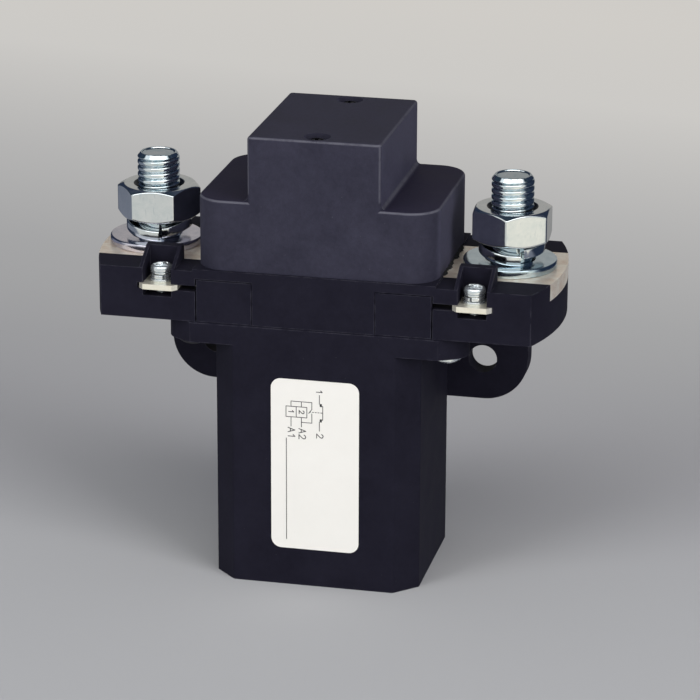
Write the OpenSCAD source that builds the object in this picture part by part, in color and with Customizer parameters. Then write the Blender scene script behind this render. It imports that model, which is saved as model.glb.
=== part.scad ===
// Single-pole dc contactor. A coil housing with two mounting ears carries a terminal base
// with two heavy studs, and a stepped arc cover closes the contacts on top.
// Millimetres, +Z up, +X along the row of studs, +Y towards the mounting face.
// The origin is on the floor under the middle of the coil housing.

/* [Coil housing] */
// Width of the housing across X
body_w = 49.2; // [48.6:0.1:52]
// Depth of the housing, which the flange and the terminal base share
body_d = 43; // [43:0.1:46]
// Leg of the cut across each upright corner
body_cut = 5.3; // [4:0.1:6]
// Radius that softens the edges of the cuts
body_edge_r = 1; // [0.4:0.1:1.5]
// Height of the rim that the terminal base sits on
rim_z = 64; // [61:0.5:70]
// Thickness of the side walls
body_wall = 2.5; // [2:0.1:2.6]
// Thickness of the floor
body_floor = 3; // [2:0.1:4]
// Thickness of the flange round the rim
flange_t = 5.1; // [4:0.1:7]
// Half width of the flange between its screw lobes
flange_side = 28; // [26:0.1:29]

/* [Mounting ears] */
// Distance between the two ear holes
ear_pitch = 66.3; // [64:0.1:68]
// Diameter of each ear hole
ear_hole_d = 6.9; // [5:0.1:7]
// Height of the ear holes above the floor
ear_hole_z = 46.9; // [45:0.1:49]
// Thickness of the ear plate
ear_t = 5; // [4:0.1:6]
// Width over both ears
ear_w = 88.4; // [86:0.2:92]
// Height of the ears' lower edge above the floor
ear_low_z = 36.8; // [34:0.2:39]
// Radius of the lower outer corner
ear_r = 10.6; // [6:0.2:12]

/* [Terminal base] */
// Radius of the base's two curved ends about the middle of the part
base_end_r = 55.3; // [54.5:0.1:58]
// Height of the base
base_h = 12.3; // [11.8:0.1:14]
// Rise of the seat under the arc cover
seat_rise = 0.5; // [0.3:0.1:1]
// Side clearance round inserted pieces
fit_gap = 0.1; // [0.05:0.01:0.2]

/* [Terminal bars and studs] */
// Distance between the two studs
stud_pitch = 85.1; // [84:0.1:87]
// Width of each copper bar
bar_w = 25; // [24:0.1:25.6]
// Thickness of each copper bar
bar_t = 4; // [3:0.1:4.4]
// Half of the gap between the bars' inner ends
bar_inner = 8.6; // [7.6:0.1:9.4]
// Diameter of the studs
stud_d = 10; // [8:0.5:10.5]
// Height of the studs' ends above the bars
stud_reach = 22.1; // [19:0.1:26]
// Width across flats of stud heads and nuts
hex_af = 17.4; // [16:0.1:17.6]
// Height of the stud's head
stud_head_h = 6.4; // [5:0.1:6.8]
// Height of a nut
nut_h = 8; // [7:0.1:9]
// Outer diameter of the plain washers
washer_d = 22; // [19:0.1:22.6]
// Thickness of the plain washers
washer_t = 2; // [1.5:0.1:2.4]
// Diameter of the plain washers' loose holes
washer_hole_d = 11.6; // [10.6:0.1:12]
// Outer diameter of the spring washers
ring_d = 15.6; // [14.6:0.1:18]
// Thickness of the spring washer's section
ring_t = 2.5; // [1.8:0.1:2.8]
// Rise from one end of the open spring washer to the other
ring_rise = 2; // [1:0.1:2.4]

/* [Coil terminals] */
// Distance between the two coil terminals
pocket_pitch = 74.6; // [74:0.1:75.4]
// Width of the open-fronted screw channel
channel_w = 6.8; // [6.4:0.1:7.2]
// Wall of the hood each side of the channel
hood_wall = 0.85; // [0.7:0.05:1]
// Height of the hood above the base
hood_h = 3.7; // [2:0.1:4.5]
// Thickness of the hood's back panel
hood_back = 2.3; // [1.6:0.1:2.6]
// Depth of the channel's floor below the top of the base
channel_drop = 6.7; // [6:0.1:7.2]
// Width of the brass tab
tab_w = 9.2; // [8.6:0.1:9.8]
// Thickness of the brass tab
tab_t = 1.3; // [1:0.05:1.4]
// How far the tab stands out of the front face
tab_out = 1; // [0.5:0.1:2]
// Depth of the tab's top below the top of the base
tab_drop = 3.65; // [3.3:0.05:4]
// Diameter of the terminal screw's thread
tab_screw_d = 3; // [2.5:0.1:3.2]
// Diameter of the terminal screw's head
tab_head_d = 5.2; // [5:0.1:6]

/* [Arc cover] */
// Width of the lower step
cover_w = 57; // [56:0.1:57]
// Depth of both steps
cover_d = 41.8; // [41.6:0.1:42.6]
// Height of the lower step above its seat
step_h = 16.8; // [15.6:0.1:20]
// Width of the upper step
tower_w = 31.4; // [28:0.1:34]
// Height of the whole cover above its seat
cover_h = 32.4; // [31:0.1:38]
// Radius of the lower step's upright corners
cover_r = 7; // [5:0.1:9]
// Radius of the small outer edges
cover_edge_r = 0.8; // [0.4:0.1:1.2]
// Radius of the hollow where the upper step rises
cover_fillet_r = 1.2; // [0.6:0.1:2]
// Wall of the cover
cover_wall = 2.2; // [1.8:0.1:2.4]
// Distance between the two cover screws
cover_screw_pitch = 34; // [33.4:0.1:34.2]
// Diameter of the counterbores for the cover screws' heads
cover_bore_d = 6.2; // [5.8:0.1:6.4]
// Depth of the counterbores
cover_bore_h = 3; // [2.6:0.1:4]

/* [Contacts and armature] */
// Open gap between the fixed and moving contact tips
contact_gap = 2.5; // [1.5:0.1:3]
// Travel of the armature after the tips touch
overtravel = 1.5; // [0.8:0.1:2]
// Thickness of every contact tip
tip_t = 1.5; // [1:0.1:2]
// Width of a tip along X
tip_w = 9; // [7:0.1:10]
// Depth of a tip along Y
tip_d = 12; // [10:0.1:16]
// Distance between the two pairs of tips
tip_pitch = 31; // [29:0.1:34]
// Length of the moving bridge
bridge_l = 44; // [42:0.1:47]
// Width of the moving bridge
bridge_w = 20; // [18:0.1:22]
// Thickness of the moving bridge
bridge_t = 4.5; // [3:0.1:5]
// Diameter of the armature's rod
rod_d = 5; // [4:0.1:5.4]
// Diameter of the plunger
plunger_d = 16; // [14:0.1:16.4]
// Length of the plunger
plunger_l = 29.7; // [26:0.1:33]

/* [Coil and magnet] */
// Thickness of the steel frame
frame_t = 3; // [2.5:0.1:3.2]
// Clearance each side between the steel frame and the housing
frame_gap = 0.5; // [0.3:0.1:0.8]
// Distance of the steel frame's edges from the front and back walls
frame_edge = 4.5; // [4.1:0.1:7]
// Thickness of the steel top plate
plate_t = 3.2; // [2.5:0.1:4]
// Distance of the winding's surface from the edge of the bobbin's cheeks
winding_edge = 0.45; // [0.35:0.05:2.5]
// Wall of the bobbin's tube
bobbin_wall = 1.2; // [1:0.1:1.6]
// Thickness of the bobbin's cheeks
cheek_t = 1.5; // [1:0.1:2]
// Wall of the brass sleeve that guides the plunger
sleeve_wall = 0.7; // [0.5:0.05:0.9]

/* [Rating label] */
// Width of the label
label_w = 21.1; // [16:0.1:26]
// Height of the label
label_h = 42.4; // [30:0.2:50]
// Height of the label's middle above the floor
label_z = 30.5; // [27:0.1:31]
// Distance of the label's middle from the middle of the housing
label_x = 0.5; // [-1:0.1:1]

/* [Hidden] */
$fn = 64;

eps = 0.01;
clear_run = 0.07;
clear_hole = 0.2;
black = "#25262c";
cover_black = "#2b2c33";
zinc = "#c9d2d8";
copper = "#c08a5a";
tinned = "#e6dcc6";
steel = "#8f9499";
brass = "#c9a44c";
silver_tip = "#d6d6d2";
white_label = "#eef0ee";
dark_plastic = "#3a3b3f";
cream_plastic = "#d9d4c4";
enamel_copper = "#9c4a22";

// Levels, from the floor up
top_z = rim_z + base_h;
seat_z = top_z + seat_rise;
bar_z = top_z - bar_t;
washer_z = top_z + washer_t;
nut_z = washer_z + ring_t + ring_rise;
washer_play = (washer_hole_d - stud_d) / 2;
flange_z = rim_z - flange_t;
stroke = contact_gap + overtravel;
touch_gap = 0.02;

front_y = -body_d / 2;
back_y = body_d / 2;
bar_y = bar_w / 2 + fit_gap;
cavity_w = body_w - 2 * body_wall;
cavity_d = body_d - 2 * body_wall;
cavity_cut = body_cut - body_wall * (2 - sqrt(2));
cavity_reach = (cavity_w + cavity_d) / 2 - cavity_cut;
frame_side = cavity_w / 2 - frame_gap;

// Flange lobes, one round each flange screw
lobe_r = 5.3;
lobe_x = 30.4;
lobe_front_y = front_y + lobe_r + 1.2;
lobe_back_y = back_y - ear_t - lobe_r + 0.3;
flat_x = lobe_x - 0.9;
rim_edge = 0.35;
lobes = [for (s = [-1, 1]) each [[s * lobe_x, lobe_front_y], [s * lobe_x, lobe_back_y]]];
flange_screw_d = 3.3;
flange_head_d = 2 * flange_screw_d;
flange_head_h = 2.4;
flange_screw_top = rim_z + 6.5;

// Coil terminals
pocket_x = pocket_pitch / 2;
channel_z = top_z - channel_drop;
tab_z = top_z - tab_drop - tab_t;
tab_back_y = -bar_y - hood_back;
tab_washer_d = tab_head_d + 0.3;
tab_screw_gap = 0.55;
tab_screw_y = tab_back_y - tab_screw_gap - tab_washer_d / 2;
tab_corner = 1.1;
tab_play = 0.45 * (channel_w - tab_washer_d) / 2;
slot_end_x = pocket_x + tab_w / 2 + 0.15;
tab_washer_t = 0.7;
tab_spring_t = 1.2;
tab_head_h = 2.3;
tab_screw_tip = channel_drop - tab_drop - tab_t - 0.15;

// Lead chambers behind the two flush lead covers
panel_w = 13.6;
panel_h = 10.4;
panel_t = 1.5;
panel_x = 21.35;
panel_gap = 0.15;
rib_inset = 1;
rib_reach = 1.6;
rib_t = 0.9;
chamber_out_x = 26.5;
chamber_back_y = -bar_y - 2.4;
chamber_h = 9.8;
lead_d = 1.6;
lead_bend = 2;
lead_gap = 0.51;
lead_y = (chamber_back_y - cavity_d / 2) / 2;
lead_up_x = round(10 * (cavity_reach + lead_y - sqrt(2) * (lead_d / 2 + lead_gap))) / 10;
lead_z = rim_z - 8;
tail_x = lead_up_x - 1.4;
chamber_in_x = tail_x - 0.8;
tail_w = 2.2;
tail_y = chamber_back_y - 0.3 - tail_w / 2;

// Armature stack, at rest with the contacts open
insulator_flange_t = 2;
insulator_wall = 1.5;
insulator_r = rod_d / 2 + insulator_wall;
contact_wire = 1.6;
contact_spring_gap = 1.3;
contact_spring_r = insulator_r + contact_spring_gap + contact_wire / 2;
retainer_d = 2 * contact_spring_r + contact_wire + 1.2;
seat_d = retainer_d + 1;
tip_z = top_z + tip_t + contact_gap + touch_gap;
bridge_z = tip_z + tip_t;
bridge_top = bridge_z + bridge_t;
seat_t = 1.2;
insulator_z = bridge_z - insulator_flange_t;
insulator_top = bridge_top + seat_t + overtravel + 0.5;
collar_t = 1.5;
collar_z = insulator_z - collar_t;
retainer_z = bridge_top + seat_t + 9.5;
retainer_t = 1.5;
clip_t = 0.8;
clip_z = retainer_z + retainer_t;
rod_top = clip_z + clip_t + 1.5;
stop_gap = 0.2;
stop_t = 1.6;
stop_recess = 1.5;
plunger_top = rim_z + stop_recess - stop_t - stop_gap;
plunger_z = plunger_top - plunger_l;
core_top = plunger_z - stroke - 0.1;
rod_seat = 8;
spring_bore_d = 9.2;
return_wire = 0.8;
return_gap = 0.4;
return_spring_r = (spring_bore_d - return_wire) / 2 - return_gap;
core_bore = 12;
plunger_bore = 6;
hub_top = collar_z - stroke - 0.8;

// Magnet and coil levels
frame_z = body_floor;
coil_z = frame_z + frame_t;
plate_z = rim_z - plate_t;
sleeve_in_r = plunger_d / 2 + clear_run;
sleeve_r = sleeve_in_r + sleeve_wall;
tube_in_r = sleeve_r + fit_gap;
tube_r = tube_in_r + bobbin_wall;
stop_d = 2 * sleeve_r - 0.5;
frame_bend = 1;
cheek_w = min(2 * (frame_side - frame_t - frame_bend) - fit_gap, cavity_d - 2);
winding_d = cheek_w - 2 * winding_edge;
wrap_t = 0.3;
lead_x = round(3.6 * winding_d) / 10;
lead_out_y = round(10 * sqrt(winding_d * winding_d / 4 - lead_x * lead_x)) / 10;
plate_gap = 1;
lead_room = 4.1;

// Bush in the hub, cover screws, and how far each nut has been turned
bush_wall = 1.5;
bush_d = rod_d + 2 * bush_wall;
bush_rim = 1.5;
bush_rim_t = 0.5;
hub_d = 13;
stop_hole = 2;
cover_screw_d = 3;
cover_screw_reach = 9;
cover_screw_gap = 0.4;
cover_boss_d = 7.8;
nut_turn_left = 5.5;
nut_turn_right = 32;

function unit(v) = v / norm(v);

// Point where the line from p touches a circle round c
function touch_point(c, r, p) =
  let (a = atan2(p.y - c.y, p.x - c.x) + acos(r / norm(p - c)))
  c + r * [cos(a), sin(a)];

// Outline of a convex shape with every corner rounded to the radius r
module soft_outline(points, r) {
  n = len(points);
  turn = [for (i = [0 : n - 1])
    let (p = points[i], u = unit(points[(i + n - 1) % n] - p), v = unit(points[(i + 1) % n] - p),
         half = acos(u * v) / 2)
    [p + u * r / tan(half), p + v * r / tan(half), p + unit(u + v) * r / sin(half)]];
  polygon([for (t = turn) each [t[0], t[1]]]);
  for (t = turn) translate(t[2]) circle(r);
}

function box_points(w, d) = [[-w, -d] / 2, [w, -d] / 2, [w, d] / 2, [-w, d] / 2];

// Octagon of the housing, grown or shrunk by a wall
function body_points(wall) =
  let (x = body_w / 2 - wall, y = body_d / 2 - wall, c = body_cut - wall * (2 - sqrt(2)))
  [[-x + c, -y], [x - c, -y], [x, -y + c], [x, y - c], [x - c, y], [-x + c, y], [-x, y - c], [-x, -y + c]];

// Block with large upright corners and small top edges: corner turnings and two straight runs
module soft_block(w, d, h, r, edge) {
  module half_profile(reach) {
    square([reach, h - edge]);
    square([reach - edge, h]);
    translate([reach - edge, h - edge]) circle(edge);
  }
  module run(width, length) {
    rotate([90, 0, 0]) linear_extrude(length, center = true) {
      half_profile(width / 2);
      mirror([1, 0]) half_profile(width / 2);
    }
  }
  for (x = [-1, 1], y = [-1, 1]) translate([x * (w / 2 - r), y * (d / 2 - r), 0])
    rotate_extrude() intersection() {
      half_profile(r);
      square([r, h]);
    }
  run(w, d - 2 * r);
  rotate(90) run(d, w - 2 * r);
}

// Split ring of square section, high at one end and low at the other
module split_ring(r_in, r_out, t, rise, gap, start) {
  steps = 56;
  ring = [for (i = [0 : steps])
    let (a = start + gap / 2 + (360 - gap) * i / steps, z = rise * (1 - i / steps))
    each [[r_in * cos(a), r_in * sin(a), z], [r_out * cos(a), r_out * sin(a), z],
          [r_out * cos(a), r_out * sin(a), z + t], [r_in * cos(a), r_in * sin(a), z + t]]];
  sides = [for (i = [0 : steps - 1], k = [0 : 3])
    let (a = 4 * i + k, b = 4 * i + (k + 1) % 4)
    each [[a, b, b + 4], [a, b + 4, a + 4]]];
  last = 4 * steps;
  polyhedron(ring, concat(sides, [[3, 2, 1, 0], [last, last + 1, last + 2, last + 3]]), convexity = 6);
}

// Round wire wound to a helix between two flat faces, with flattened end turns
module wound_spring(mean_r, wire, height, turns) {
  steps = turns * 16;
  sides = 6;
  rise = height - wire;
  function climb(t) = rise * (t < 0.1 ? 0.3 * t : t > 0.9 ? 1 - 0.3 * (1 - t) : 0.03 + (t - 0.1) * 0.94 / 0.8);
  points = [for (i = [0 : steps], k = [0 : sides - 1])
    let (a = 360 * turns * i / steps, b = 360 * k / sides,
         r = mean_r + wire / 2 * cos(b))
    [r * cos(a), r * sin(a), wire / 2 + climb(i / steps) + wire / 2 * sin(b)]];
  skin = [for (i = [0 : steps - 1], k = [0 : sides - 1])
    let (a = sides * i + k, b = sides * i + (k + 1) % sides)
    each [[a, b, b + sides], [a, b + sides, a + sides]]];
  first = [for (k = [sides - 1 : -1 : 0]) k];
  end = [for (k = [0 : sides - 1]) sides * steps + k];
  polyhedron(points, concat(skin, [first, end]), convexity = 8);
}

// Hexagon prism with the corners turned off at one end or both
module hex_block(af, h, both = true) {
  r = af / sqrt(3);
  face_r = af / 2 * 0.95;
  drop = (r - face_r) * tan(30);
  intersection() {
    cylinder(r = r, h = h, $fn = 6);
    rotate_extrude() polygon([
      [0, 0], [both ? face_r : r + 1, 0], [r, both ? drop : 0], [r, h - drop], [face_r, h], [0, h]]);
  }
}

// Pan-head screw: head above z = 0, shank below, with a cross recess
module pan_screw(head_d, head_h, thread_d, length) {
  dome = head_h * 0.5;
  ball_r = (head_d * head_d / 4 + dome * dome) / (2 * dome);
  difference() {
    intersection() {
      cylinder(d = head_d, h = head_h);
      translate([0, 0, head_h - ball_r]) sphere(ball_r);
    }
    for (a = [0, 90]) rotate(a)
      translate([-head_d * 0.28, -head_d * 0.07, head_h * 0.45]) cube([head_d * 0.56, head_d * 0.14, head_h]);
  }
  translate([0, 0, -length]) cylinder(d = thread_d, h = length);
}

// Quarter turn of a round wire
module wire_bend(r, d) rotate_extrude(angle = 90) translate([r, 0]) circle(d = d);

// Coil housing: octagonal cup, flange with four screw lobes, and a plate for the two ears
module ear_face() {
  corner_x = ear_w / 2 - ear_r;
  translate([-ear_w / 2, ear_low_z + ear_r]) square([ear_w, rim_z - ear_low_z - ear_r]);
  translate([-corner_x, ear_low_z]) square([2 * corner_x, rim_z - ear_low_z]);
  for (s = [-1, 1]) translate([s * corner_x, ear_low_z + ear_r]) circle(ear_r);
}

module flange_plan() {
  corner = [lobe_x, lobe_front_y];
  square([2 * flange_side, body_d], center = true);
  for (p = lobes) translate(p) circle(lobe_r);
  for (s = [0, 1]) mirror([s, 0])
    polygon([[0, front_y], [flat_x, front_y], touch_point(corner, lobe_r, [flat_x, front_y]), corner, [0, corner.y]]);
}

module coil_housing() color(black) difference() {
  union() {
    linear_extrude(rim_z) soft_outline(body_points(0), body_edge_r);
    translate([0, 0, flange_z]) linear_extrude(flange_t) flange_plan();
    translate([0, back_y, 0]) rotate([90, 0, 0]) linear_extrude(ear_t) ear_face();
  }
  translate([0, 0, body_floor]) linear_extrude(rim_z) soft_outline(body_points(body_wall), body_edge_r);
  for (s = [-1, 1]) translate([s * ear_pitch / 2, back_y + 1, ear_hole_z])
    rotate([90, 0, 0]) cylinder(d = ear_hole_d, h = ear_t + 2);
  for (p = lobes) translate([p.x, p.y, flange_z - 1]) cylinder(d = flange_screw_d + 0.4, h = flange_t + 2);
  // Broken edge along the front of the rim
  translate([0, front_y, rim_z]) rotate([45, 0, 0])
    cube([2 * flat_x + 1, sqrt(2) * rim_edge, sqrt(2) * rim_edge], center = true);
}

module rating_label() color(white_label)
  translate([label_x, front_y, label_z]) rotate([90, 0, 0])
    linear_extrude(0.12) soft_outline(box_points(label_w, label_h), 2.4);

// Terminal base
module base_plan() intersection() {
  square([2 * base_end_r, body_d], center = true);
  circle(base_end_r, $fn = 180);
}

module hood() {
  width = channel_w + 2 * hood_wall;
  translate([pocket_x - width / 2, 0, 0]) rotate([90, 0, 90]) linear_extrude(width)
    polygon([[front_y, top_z - 1], [front_y, top_z], [tab_back_y, top_z + hood_h],
             [-bar_y, top_z + hood_h], [-bar_y, top_z - 1]]);
}

module coil_terminal_cuts() {
  // Open-fronted channel for the screw and its driver
  translate([pocket_x - channel_w / 2, front_y - 1, channel_z])
    cube([channel_w, tab_back_y - front_y + 1, channel_drop + hood_h + 1]);
  // Slot that the brass tab slides into
  translate([chamber_out_x - eps, front_y - 1, tab_z - 0.05])
    cube([slot_end_x - chamber_out_x, tab_back_y - front_y + 1, tab_t + 0.1]);
  // Seat of the flush lead cover, and the chamber behind it
  translate([panel_x - panel_w / 2, front_y - 1, rim_z - 1])
    cube([panel_w, panel_t + 1.1, panel_h + 1]);
  translate([chamber_in_x, front_y - 1, rim_z - 1])
    cube([chamber_out_x - chamber_in_x, chamber_back_y - front_y + 1, chamber_h + 1]);
}

module terminal_base() color(black) {
  difference() {
    union() {
      translate([0, 0, rim_z]) linear_extrude(base_h) base_plan();
      translate([-cover_w / 2 - 0.3, front_y, top_z - eps])
        cube([cover_w + 0.6, body_d, seat_rise + eps]);
      for (s = [0, 1]) mirror([s, 0, 0]) hood();
    }
    // Channel for the two bars, open at both ends
    translate([-base_end_r - 1, -bar_y, bar_z]) cube([2 * base_end_r + 2, 2 * bar_y, base_h]);
    for (s = [0, 1]) mirror([s, 0, 0]) {
      coil_terminal_cuts();
      translate([stud_pitch / 2, 0, bar_z - stud_head_h])
        cylinder(d = (hex_af + 2 * fit_gap) / cos(30), h = base_h, $fn = 6);
    }
    for (p = lobes) translate([p.x, p.y, rim_z - 1])
      cylinder(d = flange_screw_d, h = flange_screw_top - rim_z + 1.5);
    for (s = [-1, 1]) translate([0, s * cover_screw_pitch / 2, seat_z - cover_screw_reach - 0.5])
      cylinder(d = cover_screw_d, h = 2 * cover_screw_reach);
    translate([0, 0, rim_z - 1]) cylinder(d = stop_d + 0.4, h = stop_recess + 1);
    translate([0, 0, rim_z]) cylinder(d = bush_d, h = base_h);
  }
  // Hub round the rod's bush
  difference() {
    translate([0, 0, bar_z - 1]) cylinder(d = hub_d, h = hub_top - bar_z + 1);
    translate([0, 0, rim_z]) cylinder(d = bush_d, h = base_h);
  }
}

// Arc cover
module cover_outside() {
  soft_block(cover_w, cover_d, step_h, cover_r, cover_edge_r);
  soft_block(tower_w, cover_d, cover_h, cover_edge_r + 0.2, cover_edge_r);
  for (s = [0, 1]) mirror([s, 0, 0]) translate([tower_w / 2 - eps, 0, step_h - eps])
    rotate([90, 0, 0]) linear_extrude(cover_d - 2 * cover_edge_r, center = true) difference() {
      square(cover_fillet_r);
      translate([cover_fillet_r, cover_fillet_r]) circle(cover_fillet_r);
    }
}

module cover_inside() difference() {
  union() {
    translate([0, 0, -1]) linear_extrude(step_h - cover_wall + 1)
      soft_outline(box_points(cover_w - 2 * cover_wall, cover_d - 2 * cover_wall), cover_r - cover_wall);
    linear_extrude(cover_h - cover_bore_h)
      soft_outline(box_points(tower_w - 2 * cover_wall, cover_d - 2 * cover_wall), 1);
  }
  for (s = [-1, 1]) translate([0, s * cover_screw_pitch / 2, -2]) cylinder(d = cover_boss_d, h = cover_h);
}

module arc_cover() color(cover_black) translate([0, 0, seat_z]) {
  difference() {
    cover_outside();
    cover_inside();
    for (s = [-1, 1]) translate([0, s * cover_screw_pitch / 2, 0]) {
      translate([0, 0, cover_h - cover_bore_h]) cylinder(d = cover_bore_d, h = cover_bore_h + 1);
      translate([0, 0, -1]) cylinder(d = cover_screw_d + cover_screw_gap, h = cover_h);
    }
  }
  // Lips that reach down to the bars
  for (s = [-1, 1]) translate([s * (cover_w / 2 - cover_wall / 2), 0, -seat_rise / 2 + 0.05])
    cube([cover_wall, bar_w - 0.4, seat_rise], center = true);
}

// Terminal bars, tips and stud hardware, drawn for the right-hand pole
module right_bar() difference() {
  translate([0, 0, bar_z]) linear_extrude(bar_t) intersection() {
    circle(base_end_r, $fn = 180);
    translate([bar_inner, -bar_w / 2]) square([base_end_r, bar_w]);
  }
  translate([stud_pitch / 2, 0, bar_z - 1]) cylinder(d = stud_d + 0.6, h = bar_t + 2);
}

module fixed_contact_left() color(copper) mirror([1, 0, 0]) right_bar();
module fixed_contact_right() color(copper) right_bar();

module tip(z) translate([tip_pitch / 2, 0, z]) linear_extrude(tip_t) soft_outline(box_points(tip_w, tip_d), 1);

module fixed_tip_left() color(silver_tip) mirror([1, 0, 0]) tip(top_z);
module fixed_tip_right() color(silver_tip) tip(top_z);

// Stud with its head held in the base; inside the nut it has the thread's pitch diameter
module stud() translate([stud_pitch / 2, 0, 0]) {
  translate([0, 0, bar_z - stud_head_h]) hex_block(hex_af, stud_head_h, false);
  translate([0, 0, bar_z]) rotate_extrude() polygon([
    [0, -1], [stud_d / 2 - 0.1, -1], [stud_d / 2 - 0.1, nut_z - bar_z], [stud_d * 0.45, nut_z - bar_z],
    [stud_d * 0.45, nut_z + nut_h - bar_z], [stud_d / 2, nut_z + nut_h - bar_z],
    [stud_d / 2, bar_t + stud_reach - 0.8], [stud_d / 2 - 0.8, bar_t + stud_reach], [0, bar_t + stud_reach]]);
}

module terminal_stud_left() color(zinc) mirror([1, 0, 0]) stud();
module terminal_stud_right() color(zinc) stud();

module plain_washer() difference() {
  cylinder(d = washer_d, h = washer_t);
  translate([0, 0, -1]) cylinder(d = washer_hole_d, h = washer_t + 2);
}

// The loose washers have slid a little to the left
module plain_washer_left() color(zinc)
  translate([-stud_pitch / 2 - washer_play * 0.9, 0, top_z]) plain_washer();
module plain_washer_right() color(zinc)
  translate([stud_pitch / 2 - washer_play * 0.4, 0, top_z]) plain_washer();

module spring_washer_left() color(zinc) translate([-stud_pitch / 2, 0, washer_z])
  split_ring(stud_d / 2 + 0.1, ring_d / 2, ring_t, ring_rise, 6, 287);
module spring_washer_right() color(zinc) translate([stud_pitch / 2, 0, washer_z])
  split_ring(stud_d / 2 + 0.1, ring_d / 2, ring_t, ring_rise, 6, 298);

module hex_nut(turn) rotate(turn) difference() {
  hex_block(hex_af, nut_h);
  translate([0, 0, -1]) cylinder(d = stud_d * 0.9, h = nut_h + 2);
  for (z = [0, nut_h]) translate([0, 0, z]) rotate_extrude()
    polygon([[0, -0.6], [stud_d * 0.45, -0.6], [stud_d * 0.45 + 0.6, 0], [stud_d * 0.45, 0.6], [0, 0.6]]);
}

module hex_nut_left() color(zinc) translate([-stud_pitch / 2, 0, nut_z]) hex_nut(nut_turn_left);
module hex_nut_right() color(zinc) translate([stud_pitch / 2, 0, nut_z]) hex_nut(nut_turn_right);

// Coil terminals, drawn for the right-hand side
module tab() difference() {
  out_y = front_y - tab_out;
  translate([0, 0, tab_z]) linear_extrude(tab_t) {
    polygon([[pocket_x - tab_w / 2, tab_back_y], [pocket_x - tab_w / 2, out_y + tab_corner],
             [pocket_x - tab_w / 2 + tab_corner, out_y], [pocket_x + tab_w / 2 - tab_corner, out_y],
             [pocket_x + tab_w / 2, out_y + tab_corner], [pocket_x + tab_w / 2, tab_back_y]]);
    translate([tail_x, tail_y - tail_w / 2]) square([pocket_x - tail_x, tail_w]);
  }
  translate([pocket_x, tab_screw_y, tab_z - 1]) cylinder(d = tab_screw_d, h = tab_t + 2);
}

// The left tab and its screw have slid a little in their channel
module coil_tab_left() color(tinned) translate([tab_play, 0, 0]) mirror([1, 0, 0]) tab();
module coil_tab_right() color(tinned) tab();

module coil_screws() color(zinc) for (x = [-pocket_x + tab_play, pocket_x])
  translate([x, tab_screw_y, tab_z + tab_t + tab_washer_t + tab_spring_t])
    pan_screw(tab_head_d, tab_head_h, tab_screw_d, tab_t + tab_washer_t + tab_spring_t + tab_screw_tip);

module coil_screw_washers() color(zinc) for (x = [-pocket_x + tab_play, pocket_x])
  translate([x, tab_screw_y, tab_z + tab_t]) {
    difference() {
      cylinder(d = tab_washer_d, h = tab_washer_t);
      translate([0, 0, -1]) cylinder(d = tab_screw_d + 0.2, h = 3);
    }
    translate([0, 0, tab_washer_t]) difference() {
      cylinder(d = tab_head_d - 0.2, h = tab_spring_t);
      translate([0, 0, -1]) cylinder(d = tab_screw_d + 0.2, h = 3);
      translate([0, -0.3, -1]) cube([tab_head_d, 0.5, 3]);
    }
  }

module lead_cover() {
  inner_x = panel_x - panel_w / 2 + panel_gap;
  translate([inner_x, front_y, rim_z + 0.1])
    cube([panel_w - 3 * panel_gap, panel_t, panel_h - 2 * panel_gap]);
  // Rib that grips the chamber's ceiling
  translate([chamber_in_x + rib_inset, front_y + panel_t - eps, rim_z + chamber_h - rib_t - panel_gap])
    cube([chamber_out_x - chamber_in_x - 2 * rib_inset, rib_reach, rib_t]);
}

module lead_cover_left() color(cover_black) mirror([1, 0, 0]) lead_cover();
module lead_cover_right() color(cover_black) lead_cover();

// Lead from the winding, past the corner of the top plate, up to the tail of the tab
module lead() {
  translate([lead_x, -lead_out_y, lead_z]) rotate([90, 0, 0]) cylinder(d = lead_d, h = -lead_y - lead_bend - lead_out_y);
  translate([lead_x + lead_bend, lead_y + lead_bend, lead_z]) rotate(180) wire_bend(lead_bend, lead_d);
  translate([lead_x + lead_bend, lead_y, lead_z]) rotate([0, 90, 0])
    cylinder(d = lead_d, h = lead_up_x - lead_x - 2 * lead_bend);
  translate([lead_up_x - lead_bend, lead_y, lead_z + lead_bend]) rotate([90, 0, 0]) rotate(-90)
    wire_bend(lead_bend, lead_d);
  translate([lead_up_x, lead_y, lead_z + lead_bend]) cylinder(d = lead_d, h = tab_z - lead_z - lead_bend);
}

module coil_lead_left() color("#b02a22") mirror([1, 0, 0]) lead();
module coil_lead_right() color("#b02a22") lead();

// Fasteners of the housing and the cover
module flange_screws() color(zinc) for (p = lobes)
  translate([p.x, p.y, flange_z]) mirror([0, 0, 1])
    pan_screw(flange_head_d, flange_head_h, flange_screw_d, flange_screw_top - flange_z);

module cover_screws() color("#1d1e22") for (s = [-1, 1])
  translate([0, s * cover_screw_pitch / 2, seat_z + cover_h - cover_bore_h])
    pan_screw(cover_bore_d - cover_screw_gap, cover_bore_h - cover_screw_gap, cover_screw_d,
              cover_h - cover_bore_h + cover_screw_reach);

module rod_bush() color(brass) translate([0, 0, rim_z + stop_recess]) difference() {
  union() {
    cylinder(d = bush_d, h = hub_top - rim_z - stop_recess);
    translate([0, 0, hub_top - rim_z - stop_recess]) cylinder(d = bush_d + 2 * bush_rim, h = bush_rim_t);
  }
  translate([0, 0, -1]) cylinder(r = rod_d / 2 + clear_run, h = base_h);
}

module stop_washer() color("#202020") translate([0, 0, rim_z + stop_recess - stop_t]) difference() {
  cylinder(d = stop_d, h = stop_t);
  translate([0, 0, -1]) cylinder(d = rod_d + 2 * stop_hole, h = stop_t + 2);
}

// Moving bridge, which slides on the insulated rod
module moving_bridge() color(copper) translate([0, 0, bridge_z]) difference() {
  linear_extrude(bridge_t) soft_outline(box_points(bridge_l, bridge_w), 2.5);
  translate([0, 0, -1]) cylinder(r = insulator_r + clear_run, h = bridge_t + 2);
}

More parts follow.
